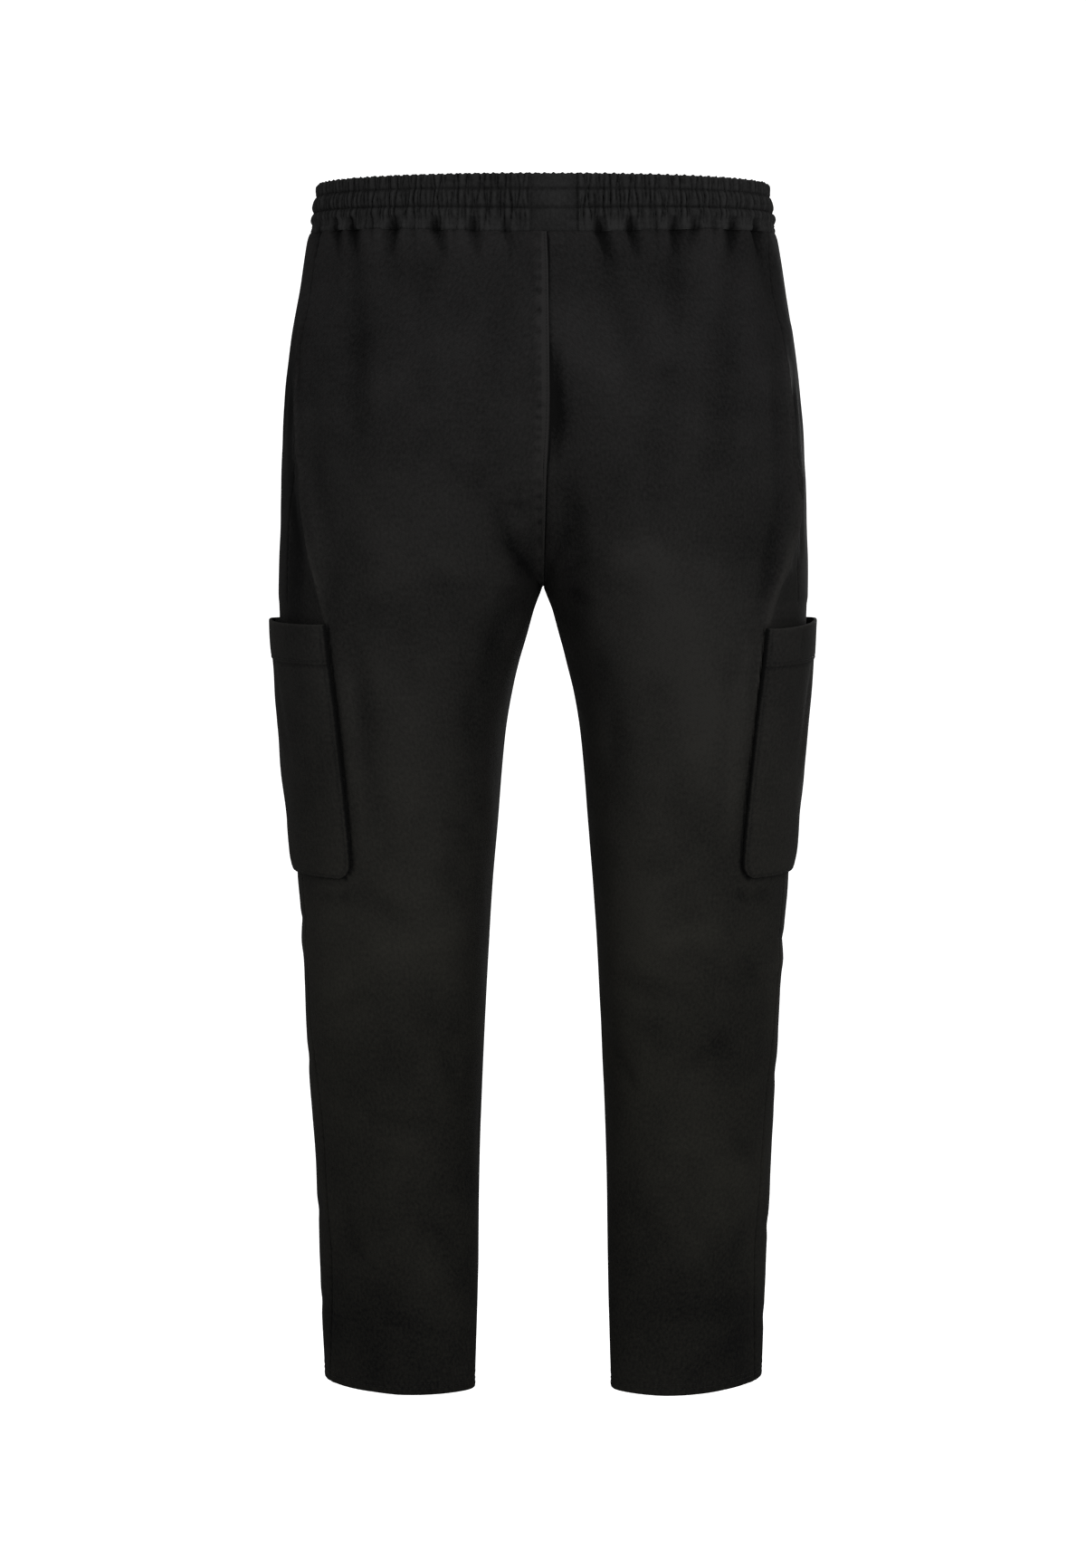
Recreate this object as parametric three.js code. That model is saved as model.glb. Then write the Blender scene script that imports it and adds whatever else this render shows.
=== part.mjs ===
// Pull-on cargo trousers, filled out as if worn, with an open waist and open hems.
// Millimetres, +Z up. The origin is the middle of the waistband, the back faces -Y,
// and the wearer's left is -X.

import * as THREE from 'three';

// Driving dimensions
const HALF_SEAM_GAP = 0.15;
const CLOTH_WALL = 1.6;
const HEM_WALL = 2.8;
const HEM_DEPTH = 15;
const HEM_Z = -996;
const CROTCH_Z = -311;
const LOBE_HEIGHT = 240;
const LOBE_POWER = 1.3;

const BAND_TOP_Z = 23.5;
const BAND_BOTTOM_SIDE_Z = -17;
const BAND_DROP_BACK = 6.5;
const BAND_DROP_FRONT = 3;
const BAND_DROP_FADE = 62;
const BAND_TOP_HALF_WIDTH = 187.8;
const BAND_TOP_HALF_DEPTH = 110.5;
const BAND_BOTTOM_HALF_WIDTH = 194;
const BAND_BOTTOM_HALF_DEPTH = 112.6;
const BAND_POWER = 2.2;
const BAND_INNER_OFFSET = -1.4;
const BAND_FLAT_LENGTH = 41;
const BAND_JOIN_WIDTH = 1.6;
const BAND_FLAT_LIFT = 0.1;
const BAND_JOIN_LIFT = -0.7;
const GATHER_COUNT = 128;
const GATHER_HEIGHT = 1.2;

const PANEL_COLUMNS = 20;
const FOLD_FADE = 14;
const SEAM_GATHER_HEIGHT = 0.5;
const SEAM_GATHER_PITCH = 23;
const SEAM_GATHER_LENGTH = 34;

const POCKET_TOP_Z = -339;
const POCKET_BOTTOM_Z = -552;
const POCKET_FRONT_ARC = -88;
const POCKET_BACK_ARC_TOP = 121;
const POCKET_BACK_ARC_BOTTOM = 108.5;
const POCKET_SHIFT_LEFT = 3.4;
const POCKET_SHIFT_RIGHT = -3.2;
const POCKET_CORNER = 14;
const POCKET_BASE_GAP = 0.5;
const POCKET_STAND_TOP = 6.6;
const POCKET_STAND_BOTTOM = 3.1;
const POCKET_EDGE = 13;
const POCKET_BAND_DEPTH = 33;
const POCKET_BAND_WALL = 2.1;

const BLACK_TWILL = '#21211f';
const WAIST_TWILL = '#1c1c1c';
const TWILL_ROUGHNESS = 0.85;

// How finely curves are measured
const DEGREE = Math.PI / 180;
const ANGLE_STEP = 0.002;
const HEIGHT_STEP = 0.5;
const SECTION_STEPS = 240;
const BAND_STEPS = 3600;
const BISECTIONS = 40;

// A table is a row of column names and rows of numbers.
function table(columns, rows) {
  const names = columns.split(' ');
  return rows.map((row) => Object.fromEntries(names.map((name, i) => [name, row[i]])));
}

// The outer edge of each leg and hip, as half the width of the pair
const OUTER_EDGE = table('z x', [
  [-17, 195.0],
  [-29, 197.8],
  [-66, 204.9],
  [-104, 211.3],
  [-161, 217.8],
  [-220, 220.8],
  [-276, 222.8],
  [-311, 223.6],
  [-352, 222.7],
  [-430, 218.7],
  [-507, 213.4],
  [-570, 209.2],
  [-624, 205.7],
  [-703, 202.3],
  [-822, 196.1],
  [-901, 192.7],
  [-941, 192.2],
  [-996, 190.1],
]);

// The inner edge of each leg below the crotch
const INNER_EDGE = table('z x', [
  [-311, 0],
  [-322, 4.4],
  [-333, 8.3],
  [-352, 13.7],
  [-372, 19.1],
  [-391, 23.7],
  [-430, 30.7],
  [-468, 34.6],
  [-507, 37.7],
  [-570, 43.2],
  [-624, 46.4],
  [-742, 52.1],
  [-822, 54.5],
  [-901, 55.5],
  [-996, 58.0],
]);

// Half depths to the back and to the front of the middle line, where that line lies, and how
// far the leg turns: its outer end goes that far to the front and its inner end to the back
const DEPTH = table('z back front middle turn', [
  [-17, 113, 113, 0, 0],
  [-60, 122, 118, 0, 0],
  [-110, 138, 124, 0, 0],
  [-160, 150, 127, 0, 0],
  [-220, 153, 126, 0, 0],
  [-270, 146, 122, 0, 0],
  [-311, 135, 116, -2, 0],
  [-350, 126, 112, -3, 0],
  [-420, 112, 105, -4, 0],
  [-500, 102, 99, -2, 0],
  [-600, 93, 92, 1, 0],
  [-700, 82, 84, 0, 3],
  [-800, 69, 79, -5, 8],
  [-900, 57, 77, -12, 14],
  [-996, 45, 76, -19, 19],
]);

// How square the sections are, on their outer and inner halves: 2 is an ellipse
const SQUARENESS = table('z outer inner', [
  [-17, 2.2, 2.2],
  [-311, 2.2, 2.2],
  [-640, 2.1, 2.2],
  [-800, 2.05, 2.0],
  [-900, 2.0, 1.8],
  [-996, 1.9, 1.55],
]);

// The side seam, in degrees behind the outermost line
const SIDE_SEAM = table('z angle', [
  [-17, 12],
  [-100, 17],
  [-160, 26],
  [-220, 31],
  [-340, 34],
  [-560, 29],
  [-650, 27],
  [-770, 32],
  [-860, 32],
  [-930, 26],
  [-996, 17],
]);

// Heights of the rows of points on each panel, from the waist seam down
const PANEL_ROWS = [
  -17, -27, -41, -62, -90, -126, -166, -206, -241, -269, -290, -303, -309, -311, -322,
  -340, -367, -404, -452, -515, -590, -675, -770, -875, -979, -982, -996,
];

// Folds seen from the back: both ends, half the width, and how far the cloth stands out
const BACK_FOLDS = table('x0 z0 x1 z1 width height', [
  [-173, -24, -173, -62, 13, -1.6],
  [-158, -24, -153, -179, 17, -2.2],
  [-125, -24, -123, -62, 13, -2.0],
  [-89, -24, -89, -52, 12, -1.6],
  [-58, -24, -57, -46, 11, -1.2],
  [44, -24, 64, -82, 13, -2.0],
  [72, -24, 72, -52, 12, -1.4],
  [108, -24, 102, -138, 15, -2.6],
  [156, -24, 151, -108, 15, -2.0],
  [177, -24, 190, -66, 13, -1.6],
  [-6, -300, -28, -272, 17, -4.5],
  [-28, -272, -40, -245, 19, -3.5],
  [-40, -245, -74, -214, 22, -2.4],
  [20, -238, 25, -305, 19, -3.5],
  [24, -325, 36, -375, 20, -3.0],
  [-24, -322, -44, -352, 18, -2.6],
  [60, -292, 128, -306, 26, 2.2],
  [-60, -296, -122, -312, 26, 1.8],
  [125, -347, 126, -470, 40, 3.4],
  [-121, -380, -122, -470, 40, 2.6],
  [201, -100, 203, -190, 15, 2.2],
  [206, -222, 197, -298, 16, 3.0],
  [-196, -100, -196, -200, 15, 2.2],
  [-192, -230, -182, -289, 16, 3.0],
  [-78, -508, -60, -510, 9, -2.2],
  [98, -588, 128, -584, 17, -2.4],
  [52, -690, 74, -730, 12, -2.0],
  [-142, -758, -94, -762, 13, -2.4],
  [128, -850, 150, -868, 14, -1.8],
  [-150, -905, -110, -915, 14, -1.6],
]);

// Similar folds on the front, which the photo hides
const FRONT_FOLDS = table('x0 z0 x1 z1 width height', [
  [-168, -22, -165, -70, 14, -1.8],
  [-132, -22, -127, -96, 15, -2.2],
  [-92, -22, -92, -58, 13, -1.8],
  [-52, -22, -54, -50, 12, -1.4],
  [38, -22, 41, -62, 13, -1.8],
  [76, -22, 78, -54, 12, -1.6],
  [118, -22, 112, -118, 15, -2.4],
  [160, -22, 156, -76, 14, -1.8],
  [-8, -302, -46, -268, 17, -3.8],
  [-10, -308, -62, -304, 17, -3.0],
  [8, -300, 42, -262, 17, -3.6],
  [12, -310, 68, -300, 18, -3.2],
  [112, -340, 118, -450, 40, 2.8],
  [-114, -352, -118, -470, 40, 2.8],
  [78, -566, 142, -572, 16, -2.4],
  [70, -612, 128, -604, 16, -2.6],
  [-140, -570, -84, -580, 16, -2.6],
  [-132, -618, -76, -612, 16, -2.2],
  [-146, -800, -96, -806, 14, -2.0],
  [92, -838, 140, -830, 14, -2.0],
]);

// A smooth curve through one column of a table, which never overshoots its rows
function curve(rows, column) {
  const points = rows.map((row) => [row.z, row[column]]).sort((a, b) => a[0] - b[0]);
  const slopes = points.slice(1).map((p, i) => (p[1] - points[i][1]) / (p[0] - points[i][0]));
  const tangents = points.map((_, i) => {
    const before = slopes[Math.max(i - 1, 0)];
    const after = slopes[Math.min(i, slopes.length - 1)];
    return before * after > 0 ? (2 * before * after) / (before + after) : 0;
  });
  return (z) => {
    const last = points.length - 1;
    if (z <= points[0][0]) return points[0][1];
    if (z >= points[last][0]) return points[last][1];
    const i = points.findIndex((p) => p[0] > z) - 1;
    const step = points[i + 1][0] - points[i][0];
    const t = (z - points[i][0]) / step;
    const rise = t * t * (3 - 2 * t);
    const leave = t * (1 - t) * (1 - t) * step * tangents[i];
    const arrive = t * t * (t - 1) * step * tangents[i + 1];
    return points[i][1] * (1 - rise) + points[i + 1][1] * rise + leave + arrive;
  };
}

const outerEdge = curve(OUTER_EDGE, 'x');
const innerEdge = curve(INNER_EDGE, 'x');
const backDepth = curve(DEPTH, 'back');
const frontDepth = curve(DEPTH, 'front');
const middleLine = curve(DEPTH, 'middle');
const legTurn = curve(DEPTH, 'turn');
const outerSquareness = curve(SQUARENESS, 'outer');
const innerSquareness = curve(SQUARENESS, 'inner');
const seamAngle = curve(SIDE_SEAM, 'angle');

function clamp01(value) {
  return Math.min(1, Math.max(0, value));
}

function smooth(value) {
  const t = clamp01(value);
  return t * t * (3 - 2 * t);
}

// One leg's section at a height. Above the crotch the two sections overlap more and more
// towards the waist, where they share one middle and are a single ring.
function section(z) {
  const above = z - CROTCH_Z;
  const outer = outerEdge(z) - HALF_SEAM_GAP;
  const back = backDepth(z);
  const front = frontDepth(z);
  const middle = middleLine(z);
  const turn = legTurn(z);
  const squareness = { outer: outerSquareness(z), inner: innerSquareness(z) };
  if (above > 0) {
    const lobe = Math.pow(clamp01(1 - above / LOBE_HEIGHT), LOBE_POWER);
    const width = outer / (1 + lobe);
    return { centre: outer - width, width, back, front, middle, turn, squareness };
  }
  const width = (outer - innerEdge(z)) / 2;
  return { centre: outer - width, width, back, front, middle, turn, squareness };
}

// A point of the smooth form. The angle is 0 on the outermost line, positive to the back.
function formPoint(side, angle, z) {
  const s = section(z);
  const depth = angle > 0 ? s.back : s.front;
  const power = Math.abs(angle) > Math.PI / 2 ? s.squareness.inner : s.squareness.outer;
  const across = Math.cos(angle);
  const along = Math.sin(angle);
  const reach = Math.pow(
    Math.pow(Math.abs(across) / s.width, power) + Math.pow(Math.abs(along) / depth, power),
    -1 / power,
  );
  return new THREE.Vector3(
    side * (HALF_SEAM_GAP + s.centre + reach * across),
    s.middle - reach * along + (s.turn * reach * across) / s.width,
    z,
  );
}

// The outward normal of the smooth form
function formNormal(side, angle, z) {
  const ahead = formPoint(side, angle + ANGLE_STEP, z);
  const around = ahead.sub(formPoint(side, angle - ANGLE_STEP, z));
  const above = formPoint(side, angle, z + HEIGHT_STEP);
  const up = above.sub(formPoint(side, angle, z - HEIGHT_STEP));
  return up.cross(around).multiplyScalar(side).normalize();
}

// The last angle of a panel: the centre seam above the crotch, the inner leg seam below it
function endAngle(z, towards) {
  const s = section(z);
  const legEnd = Math.PI - HALF_SEAM_GAP / s.width;
  if (z <= CROTCH_Z) return towards * legEnd;
  let low = Math.PI / 2;
  let high = legEnd;
  for (let i = 0; i < BISECTIONS; i += 1) {
    const half = (low + high) / 2;
    if (formPoint(1, towards * half, z).x > HALF_SEAM_GAP) low = half;
    else high = half;
  }
  return towards * low;
}

// The value that goes with a length, between two lists of the same size
function valueAt(lengths, values, length) {
  const last = lengths.length - 1;
  const found = lengths.findIndex((entry) => entry >= length);
  const i = found < 0 ? last : Math.max(1, found);
  const t = (length - lengths[i - 1]) / (lengths[i] - lengths[i - 1]);
  return values[i - 1] + t * (values[i] - values[i - 1]);
}

// Angles that cut the section between two angles into lengths with the given shares
function anglesAt(z, from, to, shares) {
  const angles = [];
  const lengths = [];
  let length = 0;
  let previous = null;
  for (let i = 0; i <= SECTION_STEPS; i += 1) {
    const angle = from + ((to - from) * i) / SECTION_STEPS;
    const point = formPoint(1, angle, z);
    if (previous) length += point.distanceTo(previous);
    angles.push(angle);
    lengths.push(length);
    previous = point;
  }
  return shares.map((share) => valueAt(lengths, angles, share * length));
}

// The angle that lies a given length of cloth from the outermost line
function angleAtArc(z, arc) {
  const step = 0.5 * DEGREE * Math.sign(arc || 1);
  let length = 0;
  let angle = 0;
  let previous = formPoint(1, 0, z);
  while (length < Math.abs(arc)) {
    const point = formPoint(1, angle + step, z);
    const piece = point.distanceTo(previous);
    const share = Math.min(1, (Math.abs(arc) - length) / piece);
    angle += step * share;
    length += piece;
    previous = point;
  }
  return angle;
}

// How far one fold lifts the cloth at x, z: round across, fading towards its ends
function foldLift(fold, x, z) {
  const run = fold.x1 - fold.x0;
  const fall = fold.z1 - fold.z0;
  const t = clamp01(((x - fold.x0) * run + (z - fold.z0) * fall) / (run * run + fall * fall));
  const away = Math.hypot(x - fold.x0 - t * run, z - fold.z0 - t * fall) / fold.width;
  return fold.height * (0.7 + 0.3 * Math.sin(Math.PI * t)) * smooth(1 - away);
}

// The gathers of the waist seam, which run out into the panel
function waistGathers(x, z) {
  const depth = BAND_BOTTOM_SIDE_Z - z;
  const turn = (2 * Math.PI * x) / SEAM_GATHER_PITCH;
  const wave = Math.sin(turn + 1.3 * Math.sin(turn / 3.7));
  return SEAM_GATHER_HEIGHT * wave * smooth(1 - depth / SEAM_GATHER_LENGTH);
}

// The height at which the waistband is sewn on, lower at the middle of the back
function waistSeamZ(angle) {
  const drop = angle > 0 ? BAND_DROP_BACK : BAND_DROP_FRONT;
  return BAND_BOTTOM_SIDE_Z - drop * Math.sin(angle) ** 2;
}

// A point of the cloth, moved out by its folds and by a distance of its own
function clothPoint(side, angle, z, out) {
  const point = formPoint(side, angle, z);
  const normal = formNormal(side, angle, z);
  const folds = angle > 0 ? BACK_FOLDS : FRONT_FOLDS;
  const end = Math.abs(endAngle(z, Math.sign(angle) || 1));
  const toSeam = (end - Math.abs(angle)) * section(z).width;
  const toSide = Math.abs(Math.sin(angle)) * section(z).width;
  const fade = smooth(toSeam / FOLD_FADE) * smooth(toSide / FOLD_FADE);
  const lift = folds.reduce((sum, fold) => sum + foldLift(fold, point.x, z), 0);
  const total = fade * (lift + waistGathers(point.x, z)) + out;
  return point.addScaledVector(normal, total);
}

// A mesh from corner points and quads, each quad cut along its shorter diagonal
function solid(points, quads) {
  const index = [];
  quads.forEach(([a, b, c, d]) => {
    if (points[a].distanceTo(points[c]) <= points[b].distanceTo(points[d])) {
      index.push(a, b, c, a, c, d);
    } else {
      index.push(a, b, d, b, c, d);
    }
  });
  let volume = 0;
  const cross = new THREE.Vector3();
  for (let i = 0; i < index.length; i += 3) {
    cross.crossVectors(points[index[i + 1]], points[index[i + 2]]);
    volume += points[index[i]].dot(cross);
  }
  if (volume < 0) index.reverse();
  const geometry = new THREE.BufferGeometry();
  const flat = points.flatMap((p) => [p.x, p.y, p.z]);
  geometry.setAttribute('position', new THREE.Float32BufferAttribute(flat, 3));
  geometry.setIndex(index);
  geometry.computeVertexNormals();
  return geometry;
}

// A closed wall between an outer and an inner grid of the same size
function wall(outer, inner) {
  const rows = outer.length;
  const columns = outer[0].length;
  const size = rows * columns;
  const at = (layer, row, column) => layer * size + row * columns + column;
  const quads = [];
  for (let r = 0; r < rows - 1; r += 1) {
    for (let c = 0; c < columns - 1; c += 1) {
      quads.push([at(0, r, c), at(0, r + 1, c), at(0, r + 1, c + 1), at(0, r, c + 1)]);
      quads.push([at(1, r, c), at(1, r, c + 1), at(1, r + 1, c + 1), at(1, r + 1, c)]);
    }
  }
  for (let c = 0; c < columns - 1; c += 1) {
    const r = rows - 1;
    quads.push([at(0, 0, c), at(0, 0, c + 1), at(1, 0, c + 1), at(1, 0, c)]);
    quads.push([at(0, r, c), at(1, r, c), at(1, r, c + 1), at(0, r, c + 1)]);
  }
  for (let r = 0; r < rows - 1; r += 1) {
    const c = columns - 1;
    quads.push([at(0, r, 0), at(1, r, 0), at(1, r + 1, 0), at(0, r + 1, 0)]);
    quads.push([at(0, r, c), at(0, r + 1, c), at(1, r + 1, c), at(1, r, c)]);
  }
  return solid([...outer.flat(), ...inner.flat()], quads);
}

function mesh(name, geometry, color) {
  const roughness = TWILL_ROUGHNESS;
  const material = new THREE.MeshStandardMaterial({ color, roughness, metalness: 0 });
  const piece = new THREE.Mesh(geometry, material);
  piece.name = name;
  return piece;
}

// One leg panel, from the side seam round to the centre seam and the inner leg seam
function panel(side, towards) {
  const shares = Array.from({ length: PANEL_COLUMNS + 1 }, (_, i) => i / PANEL_COLUMNS);
  const outer = [];
  const inner = [];
  PANEL_ROWS.forEach((level) => {
    const seam = seamAngle(level) * DEGREE + (towards * HALF_SEAM_GAP) / section(level).width;
    const angles = anglesAt(level, seam, endAngle(level, towards), shares);
    const thick = level < HEM_Z + HEM_DEPTH ? HEM_WALL : CLOTH_WALL;
    const drop = clamp01(1 - (BAND_BOTTOM_SIDE_Z - level) / BAND_DROP_FADE);
    const outerRow = [];
    const innerRow = [];
    angles.forEach((angle, i) => {
      const lowered = (waistSeamZ(angle) - BAND_BOTTOM_SIDE_Z) * drop;
      const z = level + lowered - (level === BAND_BOTTOM_SIDE_Z ? 2 * HALF_SEAM_GAP : 0);
      const last = i === PANEL_COLUMNS;
      const exact = last ? endAngle(z, towards) : angle;
      outerRow.push(clothPoint(side, exact, z, 0));
      innerRow.push(clothPoint(side, exact, z, -thick));
    });
    outer.push(outerRow);
    inner.push(innerRow);
  });
  return wall(outer, inner);
}

// The waistband's columns: flat at the centre back, then a trough and a crest for each gather
function bandColumns(length) {
  const half = BAND_FLAT_LENGTH / 2;
  const columns = [-half / 2, 0, half / 2].map((arc) => ({ arc, lift: BAND_FLAT_LIFT }));
  [-1, 1].forEach((end) => {
    columns.push({ arc: end * half, lift: BAND_JOIN_LIFT });
    columns.push({ arc: end * (half - BAND_JOIN_WIDTH), lift: BAND_FLAT_LIFT });
  });
  const pitch = (length - BAND_FLAT_LENGTH) / GATHER_COUNT;
  for (let i = 0; i < GATHER_COUNT; i += 1) {
    const drift = 0.2 * Math.sin(2.4 * i) + 0.1 * Math.sin(5.1 * i + 1);
    const size = 0.85 + 0.25 * Math.sin(1.7 * i + 0.5) + 0.15 * Math.sin(4.3 * i);
    columns.push({ arc: half + pitch * (i + 0.5 + 0.5 * drift), lift: size });
    if (i > 0) {
      columns.push({ arc: half + pitch * (i + 0.3 * drift), lift: -size });
    }
  }
  return columns.sort((a, b) => a.arc - b.arc);
}

// The waistband's rings: height as a share, how far out, and the share of the gathers shown
const BAND_RINGS = table('height out gathers', [
  [0, 0.5, 0.3],
  [0.2, 2.2, 1.0],
  [0.415, 0.6, 0.35],
  [0.575, 1.9, 1.0],
  [0.735, 0.5, 0.35],
  [1, 0.2, 0.8],
]);

// A point of the waistband. The angle is 0 at the centre back, the height a share from its seam.
function bandPoint(angle, height, out) {
  const width = THREE.MathUtils.lerp(BAND_BOTTOM_HALF_WIDTH, BAND_TOP_HALF_WIDTH, height);
  const depth = THREE.MathUtils.lerp(BAND_BOTTOM_HALF_DEPTH, BAND_TOP_HALF_DEPTH, height);
  const ring = (turn) => {
    const x = Math.sin(turn);
    const y = -Math.cos(turn);
    const reach = Math.pow(
      Math.pow(Math.abs(x) / width, BAND_POWER) + Math.pow(Math.abs(y) / depth, BAND_POWER),
      -1 / BAND_POWER,
    );
    return new THREE.Vector3(x * reach, y * reach, 0);
  };
  const point = ring(angle);
  const along = ring(angle + ANGLE_STEP).sub(ring(angle - ANGLE_STEP));
  const normal = new THREE.Vector3(along.y, -along.x, 0).normalize();
  const seam = waistSeamZ(Math.PI / 2 - Math.abs(angle));
  point.addScaledVector(normal, out);
  return point.setZ(THREE.MathUtils.lerp(seam, BAND_TOP_Z, height));
}

function waistband() {
  const angles = [];
  const lengths = [];
  let length = 0;
  for (let i = 0; i <= BAND_STEPS; i += 1) {
    const angle = -Math.PI + (2 * Math.PI * i) / BAND_STEPS;
    const point = bandPoint(angle, 0, 0).setZ(0);
    if (i > 0) length += point.distanceTo(bandPoint(angles[i - 1], 0, 0).setZ(0));
    angles.push(angle);
    lengths.push(length);
  }
  const angleAt = (arc) => valueAt(lengths, angles, (arc + length / 2) % length);
  const columns = bandColumns(length).map((column) => ({ ...column, angle: angleAt(column.arc) }));
  const rings = BAND_RINGS.map((ring) =>
    columns.map(({ angle, lift }) =>
      bandPoint(angle, ring.height, ring.out + GATHER_HEIGHT * ring.gathers * lift),
    ),
  );
  [1, 0].forEach((height) => {
    rings.push(columns.map(({ angle }) => bandPoint(angle, height, BAND_INNER_OFFSET)));
  });
  const quads = [];
  const count = columns.length;
  rings.forEach((_, r) => {
    const next = (r + 1) % rings.length;
    for (let c = 0; c < count; c += 1) {
      const beside = (c + 1) % count;
      quads.push([r * count + c, next * count + c, next * count + beside, r * count + beside]);
    }
  });
  return solid(rings.flat(), quads);
}

// How far the pocket's cloth stands off the leg: sewn down at its sides and bottom
function pocketStand(toEdge, z) {
  const down = clamp01((POCKET_TOP_Z - z) / (POCKET_TOP_Z - POCKET_BOTTOM_Z));
  const full = THREE.MathUtils.lerp(POCKET_STAND_TOP, POCKET_STAND_BOTTOM, down);
  const near = 1 - clamp01(toEdge / POCKET_EDGE);
  return POCKET_BASE_GAP + (full - POCKET_BASE_GAP) * Math.sqrt(1 - near * near);
}

// Rows of points down from the pocket's mouth, and columns in from each edge and between
const POCKET_ROWS = [0, 4, 31, 34, 62, 96, 134, 170, 192, 203, 209, 212, 213];
const POCKET_COLUMN_EDGES = [0, 1.5, 5.5, 13];
const POCKET_INNER_COLUMNS = 14;

function pocketColumns(width) {
  const rest = width - 2 * POCKET_COLUMN_EDGES.at(-1);
  const places = [...POCKET_COLUMN_EDGES];
  for (let i = 1; i < POCKET_INNER_COLUMNS; i += 1) {
    places.push(POCKET_COLUMN_EDGES.at(-1) + (rest * i) / POCKET_INNER_COLUMNS);
  }
  POCKET_COLUMN_EDGES.toReversed().forEach((place) => places.push(width - place));
  return places.map((place) => place / width);
}

// A patch pocket round the outside of the thigh, open at the top and a little further round
// on the left leg
function pocket(side) {
  const shift = side < 0 ? POCKET_SHIFT_LEFT : POCKET_SHIFT_RIGHT;
  const outer = [];
  const inner = [];
  const shares = pocketColumns(POCKET_BACK_ARC_TOP - POCKET_FRONT_ARC);
  POCKET_ROWS.forEach((down) => {
    const z = POCKET_TOP_Z - down;
    const fromBottom = z - POCKET_BOTTOM_Z;
    const into = Math.max(0, POCKET_CORNER - fromBottom);
    const rounding = Math.sqrt(Math.max(0, POCKET_CORNER ** 2 - into ** 2));
    const narrowing = POCKET_CORNER - rounding;
    const share = down / (POCKET_TOP_Z - POCKET_BOTTOM_Z);
    const edge = THREE.MathUtils.lerp(POCKET_BACK_ARC_TOP, POCKET_BACK_ARC_BOTTOM, share);
    const back = edge - narrowing;
    const front = POCKET_FRONT_ARC + narrowing;
    const thick = down < POCKET_BAND_DEPTH ? POCKET_BAND_WALL : CLOTH_WALL;
    const outerRow = [];
    const innerRow = [];
    shares.forEach((place) => {
      const arc = THREE.MathUtils.lerp(front, back, place);
      const toEdge = Math.min(arc - front, back - arc, fromBottom);
      const angle = angleAtArc(z, arc + shift);
      const stand = pocketStand(toEdge, z);
      innerRow.push(clothPoint(side, angle, z, stand));
      outerRow.push(clothPoint(side, angle, z, stand + thick));
    });
    outer.push(outerRow);
    inner.push(innerRow);
  });
  return wall(outer, inner);
}

const trousers = new THREE.Group();
trousers.add(mesh('waistband', waistband(), WAIST_TWILL));
[['left', -1], ['right', 1]].forEach(([sideName, side]) => {
  [['back', 1], ['front', -1]].forEach(([faceName, towards]) => {
    trousers.add(mesh(`${faceName}_panel_${sideName}`, panel(side, towards), BLACK_TWILL));
  });
  trousers.add(mesh(`cargo_pocket_${sideName}`, pocket(side), BLACK_TWILL));
});

export default trousers;
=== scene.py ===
"""Near-black pull-on cargo trousers, filled out as if worn, seen from the back.

Sizes in the tables are millimetres. The back faces -Y and the wearer's left is -X.
"""

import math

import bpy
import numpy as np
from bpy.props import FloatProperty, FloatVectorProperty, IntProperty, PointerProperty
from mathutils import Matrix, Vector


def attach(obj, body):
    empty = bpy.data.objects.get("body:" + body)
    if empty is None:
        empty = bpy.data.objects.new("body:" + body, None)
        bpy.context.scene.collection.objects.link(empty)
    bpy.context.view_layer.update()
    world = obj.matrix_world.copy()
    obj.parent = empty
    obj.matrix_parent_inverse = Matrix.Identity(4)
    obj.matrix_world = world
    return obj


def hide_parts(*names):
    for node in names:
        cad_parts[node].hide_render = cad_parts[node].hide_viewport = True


bl_info = {
    "name": "Cargo trousers",
    "version": (1, 0, 0),
    "blender": (4, 5, 0),
    "location": "View3D > Sidebar > Trousers",
    "description": "Twill leg panels, gathered waistband, patch pockets and their stitching",
    "category": "Object",
}

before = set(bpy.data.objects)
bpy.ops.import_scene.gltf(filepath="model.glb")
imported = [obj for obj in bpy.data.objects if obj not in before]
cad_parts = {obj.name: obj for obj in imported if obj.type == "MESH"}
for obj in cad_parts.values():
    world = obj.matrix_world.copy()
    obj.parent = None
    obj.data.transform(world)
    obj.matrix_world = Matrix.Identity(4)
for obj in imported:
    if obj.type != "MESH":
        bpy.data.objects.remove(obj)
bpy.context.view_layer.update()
BODY = "root"
MM = 0.001
IMAGE_HEIGHT = 1732


def linear(hex_colour):
    """An sRGB hex colour as linear red, green and blue."""
    parts = [int(hex_colour[i : i + 2], 16) / 255 for i in (0, 2, 4)]
    return tuple(p / 12.92 if p <= 0.04045 else ((p + 0.055) / 1.055) ** 2.4 for p in parts)


class CargoSizes(bpy.types.PropertyGroup):
    """Real sizes of the cloth and the sewing."""

    cloth_wall: FloatProperty(
        name="Cloth", description="Thickness of the twill", default=0.0016, unit="LENGTH"
    )
    hem_wall: FloatProperty(
        name="Hem", description="Thickness of the turned-up hem", default=0.0028, unit="LENGTH"
    )
    grid: FloatProperty(
        name="Grid", description="Spacing of the points on the panels", default=0.0031, unit="LENGTH"
    )
    gather_height: FloatProperty(
        name="Gather height", description="Height of a waistband gather", default=0.0013, unit="LENGTH"
    )
    gather_count: IntProperty(
        name="Gathers", description="Gathers round the waistband", default=178, min=20, max=200
    )
    stitch_pitch: FloatProperty(
        name="Stitch", description="Length of one stitch and its gap", default=0.0031, unit="LENGTH"
    )
    thread: FloatProperty(
        name="Thread", description="Thickness of the sewing thread", default=0.0005, unit="LENGTH"
    )


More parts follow.
